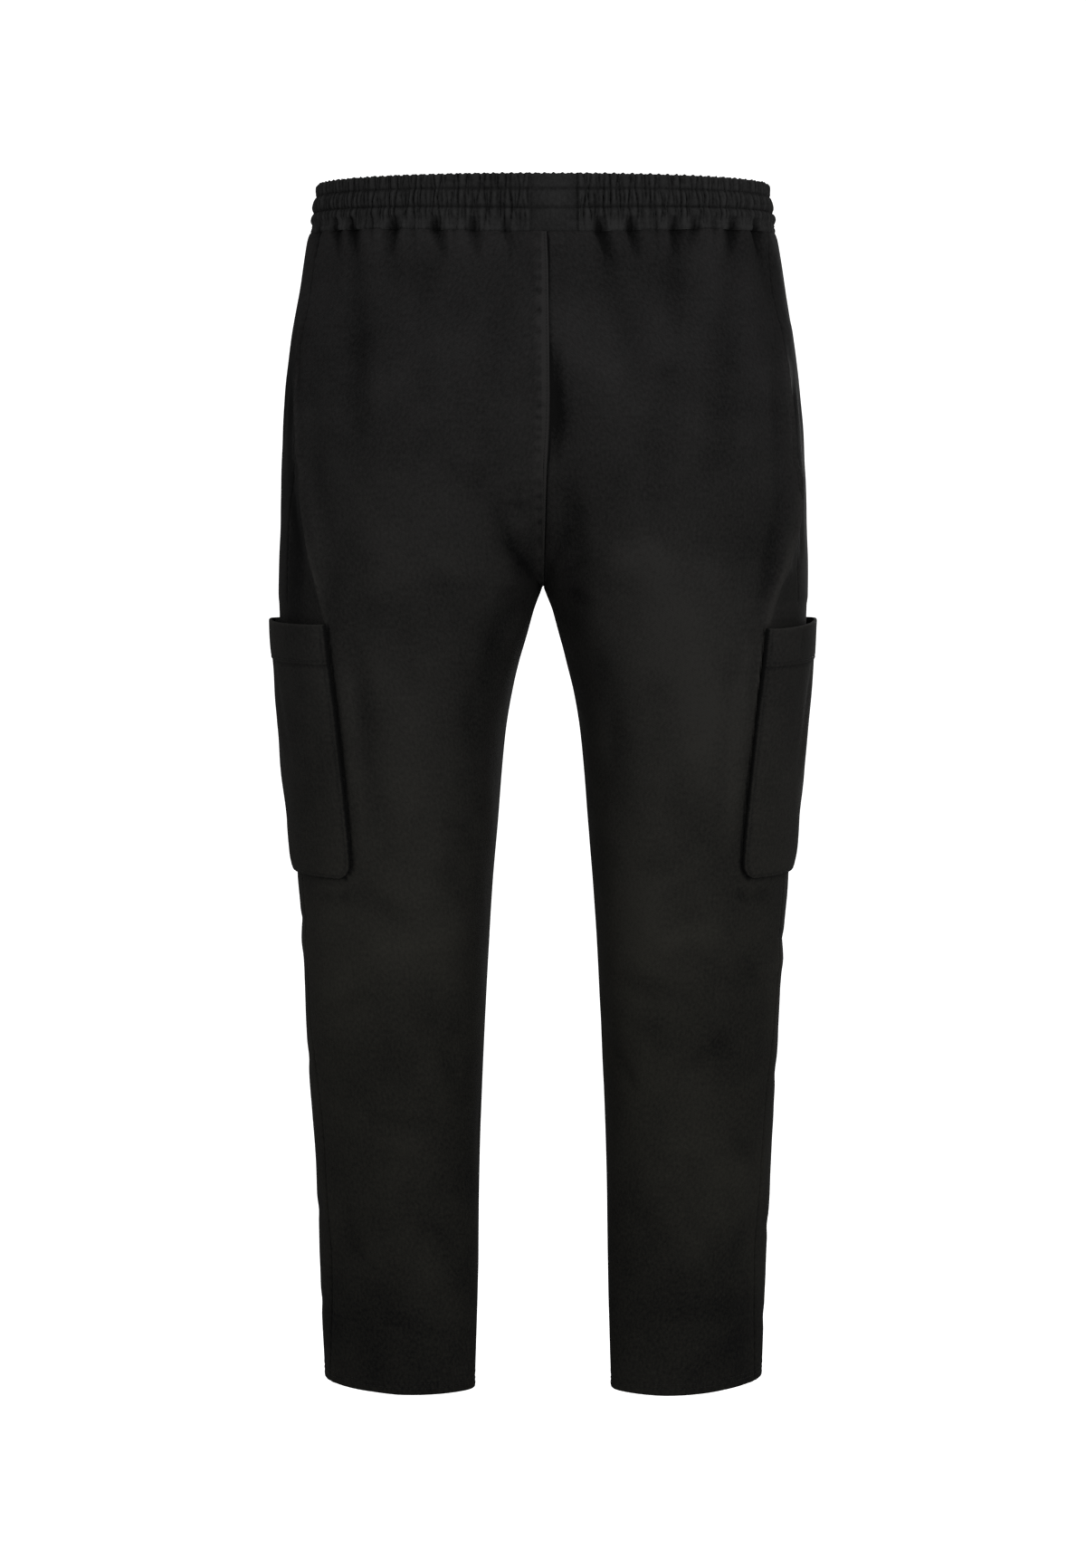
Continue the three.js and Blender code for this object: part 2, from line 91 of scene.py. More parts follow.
class CargoColours(bpy.types.PropertyGroup):
    """Colours of the cloth, the thread and the stage."""

    twill: FloatVectorProperty(
        name="Twill", description="Dyed cotton twill", subtype="COLOR", default=linear("141414")
    )
    # Pale end of the twill's colour: faded dye, wear, and painted highlight
    wear_and_light: FloatVectorProperty(
        name="Worn twill", description="Twill where the dye has paled", subtype="COLOR",
        default=linear("353434"),
    )
    warm: FloatVectorProperty(
        name="Worn legs", description="Paled twill of the lower legs, a little warmer",
        subtype="COLOR", default=linear("363530"),
    )
    waist: FloatVectorProperty(
        name="Waist twill", description="Twill of the waistband", subtype="COLOR",
        default=linear("131313"),
    )
    # Pale end of the waistband's colour: faded dye, and painted highlight on the gathers
    waist_wear_and_light: FloatVectorProperty(
        name="Worn waist twill", description="Waistband twill where the dye has paled",
        subtype="COLOR", default=linear("373737"),
    )
    thread: FloatVectorProperty(
        name="Thread", description="Polyester sewing thread", subtype="COLOR",
        default=linear("232323"),
    )
    floor: FloatVectorProperty(
        name="Floor", description="Pale studio floor and wall", subtype="COLOR",
        default=linear("f4f4f4"),
    )


def table(columns, rows):
    """A dict of arrays, one for each named column."""
    values = np.array(rows, float)
    return {name: values[:, i] for i, name in enumerate(columns.split())}


# The form of the trousers, as the frame's solids have it

HALF_SEAM_GAP = 0.15
HEM_Z = -996
HEM_DEPTH = 15
CROTCH_Z = -311
LOBE_HEIGHT = 240
LOBE_POWER = 1.3
FOLD_FADE = 14
BACK, FRONT = 1, -1
LEFT, RIGHT = -1, 1

OUTER_EDGE = table("z x", [
    (-17, 195.0), (-29, 197.8), (-66, 204.9), (-104, 211.3), (-161, 217.8), (-220, 220.8),
    (-276, 222.8), (-311, 223.6), (-352, 222.7), (-430, 218.7), (-507, 213.4), (-570, 209.2),
    (-624, 205.7), (-703, 202.3), (-822, 196.1), (-901, 192.7), (-941, 192.2), (-996, 190.1),
])
INNER_EDGE = table("z x", [
    (-311, 0), (-322, 4.4), (-333, 8.3), (-352, 13.7), (-372, 19.1), (-391, 23.7),
    (-430, 30.7), (-468, 34.6), (-507, 37.7), (-570, 43.2), (-624, 46.4), (-742, 52.1),
    (-822, 54.5), (-901, 55.5), (-996, 58.0),
])
DEPTH = table("z back front middle turn", [
    (-17, 113, 113, 0, 0), (-60, 122, 118, 0, 0), (-110, 138, 124, 0, 0),
    (-160, 150, 127, 0, 0), (-220, 153, 126, 0, 0), (-270, 146, 122, 0, 0),
    (-311, 135, 116, -2, 0), (-350, 126, 112, -3, 0), (-420, 112, 105, -4, 0),
    (-500, 102, 99, -2, 0), (-600, 93, 92, 1, 0), (-700, 82, 84, 0, 3),
    (-800, 69, 79, -5, 8), (-900, 57, 77, -12, 14), (-996, 45, 76, -19, 19),
])
SQUARENESS = table("z outer inner", [
    (-17, 2.2, 2.2), (-311, 2.2, 2.2), (-640, 2.1, 2.2), (-800, 2.05, 2.0),
    (-900, 2.0, 1.8), (-996, 1.9, 1.55),
])
SIDE_SEAM = table("z angle", [
    (-17, 12), (-100, 17), (-160, 26), (-220, 31), (-340, 34), (-560, 29), (-650, 27),
    (-770, 32), (-860, 32), (-930, 26), (-996, 17),
])

# The folds of the solids: both ends, half the width, and how far the cloth stands out
BACK_FOLDS = table("x0 z0 x1 z1 width height", [
    (-173, -24, -173, -62, 13, -1.6),
    (-158, -24, -153, -179, 17, -2.2),
    (-125, -24, -123, -62, 13, -2.0),
    (-89, -24, -89, -52, 12, -1.6),
    (-58, -24, -57, -46, 11, -1.2),
    (44, -24, 64, -82, 13, -2.0),
    (72, -24, 72, -52, 12, -1.4),
    (108, -24, 102, -138, 15, -2.6),
    (156, -24, 151, -108, 15, -2.0),
    (177, -24, 190, -66, 13, -1.6),
    (-6, -300, -28, -272, 17, -4.5),
    (-28, -272, -40, -245, 19, -3.5),
    (-40, -245, -74, -214, 22, -2.4),
    (20, -238, 25, -305, 19, -3.5),
    (24, -325, 36, -375, 20, -3.0),
    (-24, -322, -44, -352, 18, -2.6),
    (60, -292, 128, -306, 26, 2.2),
    (-60, -296, -122, -312, 26, 1.8),
    (125, -347, 126, -470, 40, 3.4),
    (-121, -380, -122, -470, 40, 2.6),
    (201, -100, 203, -190, 15, 2.2),
    (206, -222, 197, -298, 16, 3.0),
    (-196, -100, -196, -200, 15, 2.2),
    (-192, -230, -182, -289, 16, 3.0),
    (-78, -508, -60, -510, 9, -2.2),
    (98, -588, 128, -584, 17, -2.4),
    (52, -690, 74, -730, 12, -2.0),
    (-142, -758, -94, -762, 13, -2.4),
    (128, -850, 150, -868, 14, -1.8),
    (-150, -905, -110, -915, 14, -1.6),
])
FRONT_FOLDS = table("x0 z0 x1 z1 width height", [
    (-168, -22, -165, -70, 14, -1.8),
    (-132, -22, -127, -96, 15, -2.2),
    (-92, -22, -92, -58, 13, -1.8),
    (-52, -22, -54, -50, 12, -1.4),
    (38, -22, 41, -62, 13, -1.8),
    (76, -22, 78, -54, 12, -1.6),
    (118, -22, 112, -118, 15, -2.4),
    (160, -22, 156, -76, 14, -1.8),
    (-8, -302, -46, -268, 17, -3.8),
    (-10, -308, -62, -304, 17, -3.0),
    (8, -300, 42, -262, 17, -3.6),
    (12, -310, 68, -300, 18, -3.2),
    (112, -340, 118, -450, 40, 2.8),
    (-114, -352, -118, -470, 40, 2.8),
    (78, -566, 142, -572, 16, -2.4),
    (70, -612, 128, -604, 16, -2.6),
    (-140, -570, -84, -580, 16, -2.6),
    (-132, -618, -76, -612, 16, -2.2),
    (-146, -800, -96, -806, 14, -2.0),
    (92, -838, 140, -830, 14, -2.0),
])

# Finer creases. Pinch is 0 for a round trough or ridge, 1 for a sharp one.
BACK_CREASES = table("x0 z0 x1 z1 width height pinch", [
    # beside and below the centre back seam
    (9, -118, 8, -205, 10, -2.0, 0.3),
    (12, -150, 15, -186, 13, -1.2, 0.0),
    (-12, -226, -26, -228, 4, -0.9, 0.5),
    (-9, -242, -30, -243, 4, -1.0, 0.5),
    (-18, -229, -19, -241, 4, -0.7, 0.5),
    (-2, -306, -22, -280, 8, -1.8, 0.6),
    (-20, -282, -36, -250, 9, -1.5, 0.4),
    (3, -300, 16, -268, 9, -1.4, 0.4),
    (4, -306, 30, -290, 9, -1.2, 0.4),
    (-4, -312, -34, -316, 9, -1.3, 0.3),
    (5, -312, 40, -322, 10, -1.4, 0.3),
    # drag lines from the hip to the pocket
    (199, -128, 203, -190, 7, 1.2, 0.5),
    (205, -196, 208, -232, 8, 1.8, 0.5),
    (208, -236, 199, -292, 8, 2.2, 0.6),
    (198, -294, 184, -334, 9, 2.0, 0.5),
    (189, -266, 178, -330, 11, -1.4, 0.2),
    (-195, -112, -197, -190, 8, 1.4, 0.4),
    (-197, -196, -186, -272, 9, 1.8, 0.5),
    (-186, -276, -175, -336, 9, 1.6, 0.5),
    (-168, -352, -158, -470, 11, 1.6, 0.3),
    (-150, -360, -145, -452, 13, -1.2, 0.1),
    (166, -356, 158, -480, 12, 1.4, 0.2),
    # long soft folds of the seat and thighs
    (-150, -90, -147, -196, 20, -1.5, 0.0),
    (150, -96, 142, -210, 22, -1.2, 0.0),
    (96, -140, 88, -230, 24, -1.3, 0.0),
    (60, -84, 76, -150, 18, -1.0, 0.0),
    (-92, -60, -96, -150, 22, -0.9, 0.0),
    (-40, -360, -62, -420, 16, -1.4, 0.1),
    (46, -372, 60, -440, 18, -1.6, 0.1),
    (80, -420, 92, -520, 26, 1.5, 0.0),
    # behind the knees and down the calves
    (-82, -506, -58, -512, 6, -0.7, 0.6),
    (-74, -520, -52, -526, 8, -0.8, 0.4),
    (-150, -565, -118, -580, 15, -1.2, 0.1),
    (-128, -610, -84, -606, 18, 1.2, 0.0),
    (88, -560, 112, -548, 13, 1.3, 0.1),
    (104, -604, 140, -596, 16, 1.4, 0.0),
    (70, -640, 118, -650, 15, -1.4, 0.1),
    (52, -688, 76, -732, 8, -0.5, 0.4),
    (60, -676, 88, -700, 10, 0.8, 0.2),
    (150, -690, 118, -712, 14, -1.2, 0.1),
    (-176, -664, -150, -650, 12, -1.1, 0.2),
    (-142, -757, -92, -761, 8, -0.5, 0.3),
    (-138, -776, -104, -780, 10, 0.8, 0.1),
    (-84, -700, -66, -742, 12, -0.9, 0.2),
    (96, -790, 140, -800, 15, -1.0, 0.1),
    (160, -770, 178, -800, 12, -1.0, 0.3),
    (172, -846, 160, -880, 11, -0.9, 0.2),
    (-168, -830, -158, -876, 11, -1.0, 0.3),
    (-96, -848, -74, -862, 13, -0.8, 0.1),
    (-130, -930, -86, -940, 15, -0.8, 0.0),
    (84, -918, 122, -926, 15, -0.9, 0.0),
])
FRONT_CREASES = table("x0 z0 x1 z1 width height pinch", [
    (-3, -306, -34, -276, 8, -1.8, 0.6),
    (-4, -310, -58, -300, 9, -1.5, 0.4),
    (-6, -314, -46, -326, 9, -1.3, 0.3),
    (3, -305, 30, -268, 8, -1.7, 0.6),
    (5, -310, 64, -296, 9, -1.5, 0.4),
    (6, -314, 40, -328, 9, -1.3, 0.3),
    (-9, -120, -10, -196, 12, -1.4, 0.2),
    (12, -150, 12, -214, 12, -1.3, 0.2),
    (-150, -96, -146, -190, 20, -1.3, 0.0),
    (146, -92, 140, -180, 20, -1.3, 0.0),
    (98, -120, 92, -204, 22, -1.1, 0.0),
    (-196, -220, -186, -330, 10, 1.6, 0.4),
    (196, -214, 184, -328, 10, 1.6, 0.4),
    (-60, -380, -70, -450, 18, -1.4, 0.1),
    (56, -376, 68, -446, 18, -1.4, 0.1),
    (150, -548, 96, -556, 12, -1.3, 0.2),
    (72, -588, 120, -582, 11, 1.2, 0.1),
    (138, -628, 92, -634, 12, -1.2, 0.2),
    (-146, -552, -98, -560, 12, -1.3, 0.2),
    (-72, -596, -122, -590, 11, 1.2, 0.1),
    (-140, -640, -88, -636, 12, -1.1, 0.2),
    (-150, -720, -110, -730, 14, -1.0, 0.1),
    (140, -738, 104, -746, 14, -1.0, 0.1),
    (-96, -860, -140, -868, 14, -0.9, 0.1),
    (84, -900, 130, -908, 15, -0.9, 0.1),
    (-84, -938, -128, -944, 15, -0.8, 0.0),
])

# Sharp ridges from the hips to the pockets and along them, in the same terms as the drag lines
BACK_RIDGES = [
    (5, 3.6, 0.9, [(197, -70), (199, -136), (203, -186), (208, -230), (206, -262), (198, -290),
                   (188, -322), (180, -356), (176, -390), (173, -440), (171, -500), (168, -556)]),
    (4, 3.6, 0.9, [(-199, -70), (-201, -126), (-197, -205), (-192, -255), (-185, -300),
                   (-178, -334), (-172, -380)]),
]
FRONT_RIDGES = [
    (5, 3.0, 0.7, [(-196, -90), (-200, -170), (-202, -240), (-194, -300), (-186, -334)]),
    (5, 3.0, 0.7, [(196, -90), (199, -160), (202, -236), (194, -300), (184, -334)]),
]
# Strength of the painted highlight, partly wear, along the ridges' crests
RIDGE_WEAR_AND_HIGHLIGHT = 0.55

# Long drag lines, each a width, a height, a pinch and the places it passes, as x and z
BACK_LINES = [
    (4, -1.8, 0.2, [(206, -120), (208, -190), (214, -232), (214, -280), (205, -320)]),
    (8, -1.3, 0.0, [(188, -120), (190, -190), (194, -240), (186, -300)]),
    (5, -2.0, 0.2, [(-209, -110), (-208, -190), (-203, -255), (-194, -310)]),
    (8, -0.6, 0.0, [(-184, -120), (-185, -200), (-174, -270), (-165, -330)]),
    (22, -1.3, 0.0, [(2, -310), (-16, -288), (-26, -262)]),
    (24, -0.8, 0.0, [(-20, -262), (-36, -232), (-44, -204)]),
    (20, -1.3, 0.0, [(3, -308), (14, -286), (22, -250), (16, -208), (12, -150)]),
    (11, -1.7, 0.2, [(8, -106), (10, -134), (10, -172), (7, -212)]),
    (14, -1.8, 0.1, [(8, -312), (22, -340), (34, -384), (44, -432)]),
    (12, -1.5, 0.1, [(-6, -314), (-30, -338), (-48, -372)]),
    (7, -1.2, 0.5, [(-11, -246), (-24, -243), (-40, -248)]),
    (6, -1.0, 0.5, [(-13, -230), (-22, -233), (-31, -226)]),
    (10, -2.4, 0.2, [(158, -560), (170, -569), (192, -564)]),
    (10, -2.0, 0.2, [(-158, -563), (-170, -571), (-190, -566)]),
    (20, 1.6, 0.0, [(36, -290), (80, -280), (130, -292), (170, -322)]),
    (20, 1.4, 0.0, [(-40, -296), (-86, -286), (-130, -300), (-162, -330)]),
    (12, 1.8, 0.3, [(168, -350), (162, -410), (156, -480), (150, -548)]),
    (13, -0.7, 0.1, [(150, -356), (146, -420), (140, -500)]),
    (12, 1.6, 0.3, [(-162, -352), (-154, -420), (-150, -500), (-150, -552)]),
    (16, -0.6, 0.0, [(-146, -370), (-138, -440), (-132, -520)]),
]
FRONT_LINES = [
    (14, -2.8, 0.3, [(-2, -306), (-24, -288), (-52, -262), (-90, -240), (-130, -232)]),
    (13, -2.6, 0.3, [(3, -305), (28, -284), (58, -256), (98, -238)]),
    (12, -2.2, 0.2, [(-4, -312), (-34, -322), (-72, -330)]),
    (12, -2.2, 0.2, [(5, -313), (38, -326), (80, -338)]),
    (13, -1.6, 0.1, [(6, -130), (8, -190), (4, -250)]),
    (16, 1.5, 0.0, [(-122, -340), (-120, -420), (-114, -500), (-116, -560)]),
    (16, 1.5, 0.0, [(120, -340), (118, -420), (112, -500), (116, -560)]),
    (13, -1.8, 0.3, [(154, -560), (124, -574), (92, -572), (72, -562)]),
    (13, -1.7, 0.3, [(-70, -556), (-96, -572), (-132, -570), (-156, -556)]),
    (13, -1.5, 0.2, [(-74, -612), (-104, -604), (-144, -616)]),
    (13, -1.5, 0.2, [(76, -622), (112, -610), (150, -618)]),
]
# The same on each outer side, as y and z
SIDE_LINES = [
    (16, -1.6, 0.1, [(36, -60), (30, -120), (10, -190), (-6, -250)]),
    (14, 1.5, 0.2, [(60, -90), (56, -170), (44, -250), (40, -330)]),
    (14, -1.2, 0.1, [(-40, -120), (-34, -200), (-26, -280)]),
    (11, -1.6, 0.4, [(-56, -586), (-20, -598), (20, -590), (52, -600)]),
    (12, -1.5, 0.3, [(56, -630), (20, -640), (-18, -632)]),
    (13, 1.3, 0.1, [(-60, -616), (-20, -616), (30, -612)]),
    (13, -1.2, 0.2, [(44, -700), (10, -716), (-24, -712)]),
    (14, 1.2, 0.0, [(20, -640), (16, -720), (8, -800), (4, -880)]),
    (12, -1.1, 0.2, [(-34, -836), (0, -850), (28, -842)]),
    (12, -1.0, 0.2, [(34, -916), (0, -930), (-22, -926)]),
]

# Pleats that run down from the waist seam: place at the seam, lean, length, width and depth
BACK_PLEATS = table("x lean length width depth", [
    (-186, -4, 50, 5, 2.2),
    (-172, 3, 44, 6, 4.0),
    (-158, 6, 120, 7, 4.4),
    (-140, 0, 16, 3, 1.4),
    (-122, -6, 44, 8, 4.6),
    (-106, 1, 12, 3, 1.2),
    (-87, 10, 34, 8, 4.4),
    (-72, 0, 12, 3, 1.2),
    (-57, 3, 20, 7, 3.2),
    (-31, 4, 10, 5, 2.4),
    (46, 15, 62, 7, 4.4),
    (71, 8, 30, 6, 4.0),
    (92, 0, 12, 3, 1.2),
    (108, 1, 120, 8, 4.8),
    (124, -9, 26, 7, 3.4),
    (140, 0, 14, 4, 1.6),
    (157, -4, 84, 8, 4.6),
    (176, 11, 60, 6, 4.2),
])
FRONT_PLEATS = table("x lean length width depth", [
    (-180, -5, 40, 6, 2.2),
    (-164, 2, 56, 6, 2.6),
    (-146, 0, 20, 5, 2.0),
    (-130, 3, 70, 6, 3.0),
    (-112, 0, 18, 4, 1.6),
    (-92, 1, 36, 5, 2.8),
    (-74, 0, 14, 4, 1.6),
    (-52, -1, 26, 5, 2.4),
    (-24, 1, 14, 5, 2.0),
    (20, 0, 14, 5, 1.8),
    (39, 3, 30, 5, 2.6),
    (58, 0, 14, 4, 1.6),
    (77, 2, 26, 5, 2.6),
    (98, 0, 16, 4, 1.8),
    (116, -4, 76, 6, 3.0),
    (136, 0, 18, 5, 2.0),
    (158, -2, 44, 6, 2.6),
    (178, 6, 30, 6, 2.2),
])


# Where the cloth is pale on each face: centre, half sizes and how much.
# On the back, the broad patches on the thighs, seat and knees are partly wear and partly painted
# highlight, and the patches below zero are painted shade.
BACK_WEAR_AND_LIGHT = table("x z wide high amount", [
    # Partly wear and partly painted highlight on the thighs, seat and knees
    (126, -402, 46, 112, 0.95),
    (-122, -424, 44, 88, 0.60),
    (92, -262, 74, 92, 0.50),
    (-112, -286, 60, 82, 0.35),
    (60, -362, 34, 60, 0.30),
    (96, -600, 50, 66, 0.80),
    (-118, -600, 46, 72, 0.60),
    (124, -742, 44, 80, 0.05),
    (-110, -110, 80, 100, 0.22),
    (-112, -760, 40, 76, 0.20),
    (10, -150, 150, 70, 0.15),
    # Below zero, painted shade: in the trough beside the centre seam and by the folds round the crotch
    (13, -152, 12, 34, -0.40),
    (-36, -218, 26, 26, -0.40),
    (-18, -278, 20, 28, -0.20),
    (44, -262, 50, 34, -0.35),
    (22, -318, 28, 30, -0.20),
    # Painted shade on the side strip beyond the left ridge
    (-212, -170, 13, 120, -1.40),
    (-203, -300, 10, 60, -1.10),
    (40, -420, 24, 110, 0.35),
    (72, -650, 20, 130, 0.45),
    (-172, -650, 16, 130, 0.45),
    (118, -660, 30, 60, 0.25),
])
FRONT_WORN = table("x z wide high amount", [
    (122, -420, 50, 110, 0.70),
    (-122, -420, 50, 110, 0.70),
    (112, -600, 46, 70, 0.85),
    (-112, -600, 46, 70, 0.85),
    (80, -220, 70, 80, 0.25),
    (-80, -220, 70, 80, 0.25),
    (122, -780, 44, 90, 0.20),
    (-122, -780, 44, 90, 0.20),
])
PATCH_STRENGTH = 0.38
FACE_FADE = 60

# Cloth that stands out is painted paler, partly as wear and partly as painted highlight, and cloth that
# dips is painted darker as painted shade.
# The lower legs are painted darker, as painted shade for the light that falls off downwards.
RUB_AND_SHADE_PER_MM = 0.12
RUB_AND_SHADE_FROM = -5
RUB_AND_SHADE_TO = 1.5
MAIN_FOLDS_UNPAINTED = 0.8
LOWER_LEG_SHADE = 0.24
LOWER_LEG_SHADE_Z = -680
LOWER_LEG_SHADE_FADE = 300


def wear_and_light_at(points):
    """How much paler each place is for its patches of wear and painted highlight, or darker below zero
    for painted shade.
    """
    total = np.zeros(points.shape[:-1])
    for patches, share in (
        (BACK_WEAR_AND_LIGHT, smooth(0.5 - points[..., 1] / FACE_FADE)),
        (FRONT_WORN, smooth(0.5 + points[..., 1] / FACE_FADE)),
    ):
        for x, z, wide, high, amount in zip(*patches.values()):
            away = ((points[..., 0] - x) / wide) ** 2 + ((points[..., 2] - z) / high) ** 2
            total += share * amount * np.exp(-away)
    return PATCH_STRENGTH * total


def rub_and_shade(lift):
    """How much paler the cloth is where it stands out, as wear and painted highlight, and darker where
    it dips, as painted shade.
    """
    return RUB_AND_SHADE_PER_MM * np.clip(lift, RUB_AND_SHADE_FROM, RUB_AND_SHADE_TO)


def curve(rows, column):
    """A smooth curve through one column of a table, which never overshoots its rows."""
    order = np.argsort(rows["z"])
    places = rows["z"][order]
    values = rows[column][order]
    slopes = np.diff(values) / np.diff(places)
    before = np.r_[slopes[0], slopes]
    after = np.r_[slopes, slopes[-1]]
    same_way = before * after > 0
    total = np.where(same_way, before + after, 1.0)
    tangents = np.where(same_way, 2 * before * after / total, 0.0)

    def value(z):
        z = np.clip(z, places[0], places[-1])
        i = np.clip(np.searchsorted(places, z, side="right") - 1, 0, len(places) - 2)
        step = places[i + 1] - places[i]
        t = (z - places[i]) / step
        rise = t * t * (3 - 2 * t)
        leave = t * (1 - t) ** 2 * step * tangents[i]
        arrive = t * t * (t - 1) * step * tangents[i + 1]
        return values[i] * (1 - rise) + values[i + 1] * rise + leave + arrive

    return value


outer_edge = curve(OUTER_EDGE, "x")
inner_edge = curve(INNER_EDGE, "x")
back_depth = curve(DEPTH, "back")
front_depth = curve(DEPTH, "front")
middle_line = curve(DEPTH, "middle")
leg_turn = curve(DEPTH, "turn")
outer_squareness = curve(SQUARENESS, "outer")
inner_squareness = curve(SQUARENESS, "inner")
seam_angle = curve(SIDE_SEAM, "angle")


def smooth(value):
    """A soft step from 0 to 1."""
    t = np.clip(value, 0, 1)
    return t * t * (3 - 2 * t)


def bump(distance, width):
    """1 on a line, falling softly to 0 at a width from it."""
    return smooth(1 - np.abs(distance) / width)


def section(z):
    """One leg's section: its centre, half width, half depths, middle line and squareness."""
    above = z - CROTCH_Z
    outer = outer_edge(z) - HALF_SEAM_GAP
    lobe = np.clip(1 - above / LOBE_HEIGHT, 0, 1) ** LOBE_POWER
    width = np.where(above > 0, outer / (1 + lobe), (outer - inner_edge(z)) / 2)
    return outer - width, width


def form_point(side, angle, z):
    """Points of the smooth form. The angle is 0 on the outermost line, positive to the back."""
    angle, z = np.broadcast_arrays(angle, z)
    centre, width = section(z)
    depth = np.where(angle > 0, back_depth(z), front_depth(z))
    power = np.where(np.abs(angle) > math.pi / 2, inner_squareness(z), outer_squareness(z))
    across = np.cos(angle)
    along = np.sin(angle)
    total = (np.abs(across) / width) ** power + (np.abs(along) / depth) ** power
    reach = total ** (-1 / power)
    x = side * (HALF_SEAM_GAP + centre + reach * across)
    y = middle_line(z) - reach * along + leg_turn(z) * reach * across / width
    return np.stack([x, y, z + 0.0], axis=-1)


def form_normal(side, angle, z):
    """Outward normals of the smooth form."""
    around = form_point(side, angle + 0.002, z) - form_point(side, angle - 0.002, z)
    up = form_point(side, angle, z + 0.5) - form_point(side, angle, z - 0.5)
    normal = side * np.cross(up, around)
    return normal / np.linalg.norm(normal, axis=-1, keepdims=True)


def end_angle(z, towards):
    """The last angle of a panel: the centre seam above the crotch, the inner leg seam below."""
    width = section(z)[1]
    leg_end = math.pi - HALF_SEAM_GAP / width
    low = np.full_like(leg_end, math.pi / 2)
    high = leg_end.copy()
    for _ in range(40):
        half = (low + high) / 2
        outside = form_point(RIGHT, towards * half, z)[..., 0] > HALF_SEAM_GAP
        low = np.where(outside, half, low)
        high = np.where(outside, high, half)
    return towards * np.where(z <= CROTCH_Z, leg_end, low)


ARC_FIRST_DEGREES = -179.5
ARC_STEP_DEGREES = 0.5
ARC_LEVEL_STEP = 3.0
ARC_ANGLES = np.radians(np.arange(ARC_FIRST_DEGREES, 180, ARC_STEP_DEGREES))
ARC_LEVELS = np.arange(-1000.0, -9.0, ARC_LEVEL_STEP)


def arc_lengths(z):
    """Cloth lengths from the outermost line to each of ARC_ANGLES, one row for each height."""
    points = form_point(RIGHT, ARC_ANGLES[None, :], np.atleast_1d(z)[:, None])
    steps = np.linalg.norm(np.diff(points, axis=1), axis=-1)
    total = np.concatenate([np.zeros((len(points), 1)), np.cumsum(steps, axis=1)], axis=1)
    zero = np.searchsorted(ARC_ANGLES, 0)
    return total - total[:, zero : zero + 1]


ARC_TABLE = arc_lengths(ARC_LEVELS)


def arc_of(angle, z):
    """Cloth lengths from the outermost line, worked out between the rows of ARC_TABLE."""
    row = np.clip((z - ARC_LEVELS[0]) / ARC_LEVEL_STEP, 0, len(ARC_LEVELS) - 1.001)
    column = (np.degrees(angle) - ARC_FIRST_DEGREES) / ARC_STEP_DEGREES
    column = np.clip(column, 0, len(ARC_ANGLES) - 1.001)
    r = row.astype(int)
    c = column.astype(int)
    fr = row - r
    fc = column - c
    low = ARC_TABLE[r, c] * (1 - fc) + ARC_TABLE[r, c + 1] * fc
    high = ARC_TABLE[r + 1, c] * (1 - fc) + ARC_TABLE[r + 1, c + 1] * fc
    return low * (1 - fr) + high * fr


def angles_at(z, arcs):
    """The angles at given cloth lengths from the outermost line, row by row."""
    lengths = arc_lengths(z)
    return np.array([np.interp(arcs[i], lengths[i], ARC_ANGLES) for i in range(len(lengths))])


def fold_lift(folds, across, z):
    """How far a table of folds lifts the cloth at given places."""
    lift = np.zeros_like(across)
    pinches = folds.get("pinch", np.zeros_like(folds["x0"]))
    columns = [folds[name] for name in ("x0", "z0", "x1", "z1", "width", "height")]
    for x0, z0, x1, z1, width, height, pinch in zip(*columns, pinches):
        run = x1 - x0
        fall = z1 - z0
        t = np.clip(((across - x0) * run + (z - z0) * fall) / (run**2 + fall**2), 0, 1)
        away = np.hypot(across - x0 - t * run, z - z0 - t * fall) / width
        round_part = smooth(1 - away)
        sharp_part = np.clip(1 - away, 0, 1) ** 2
        along = 0.7 + 0.3 * np.sin(math.pi * t)
        lift += height * along * (round_part * (1 - pinch) + sharp_part * pinch)
    return lift


def line_lift(lines, across, z):
    """How far a list of drag lines lifts the cloth, fading out at each line's ends."""
    lift = np.zeros_like(across)
    for width, height, pinch, places in lines:
        places = np.array(places, float)
        steps = np.linalg.norm(np.diff(places, axis=0), axis=1)
        starts = np.r_[0, np.cumsum(steps)]
        nearest = np.full_like(across, np.inf)
        along = np.zeros_like(across)
        for (x0, z0), (x1, z1), step, start in zip(places, places[1:], steps, starts):
            t = np.clip(((across - x0) * (x1 - x0) + (z - z0) * (z1 - z0)) / step**2, 0, 1)
            away = np.hypot(across - x0 - t * (x1 - x0), z - z0 - t * (z1 - z0))
            closer = away < nearest
            nearest = np.where(closer, away, nearest)
            along = np.where(closer, start + t * step, along)
        share = along / starts[-1]
        fade = smooth(4 * share) * smooth(3 * (1 - share)) * (0.85 + 0.15 * np.sin(9 * share))
        away = nearest / (width * (0.8 + 0.35 * share))
        shape = smooth(1 - away) * (1 - pinch) + np.clip(1 - away, 0, 1) ** 2 * pinch
        lift += height * fade * shape
    return lift


# The waistband and the seam that joins it to the panels

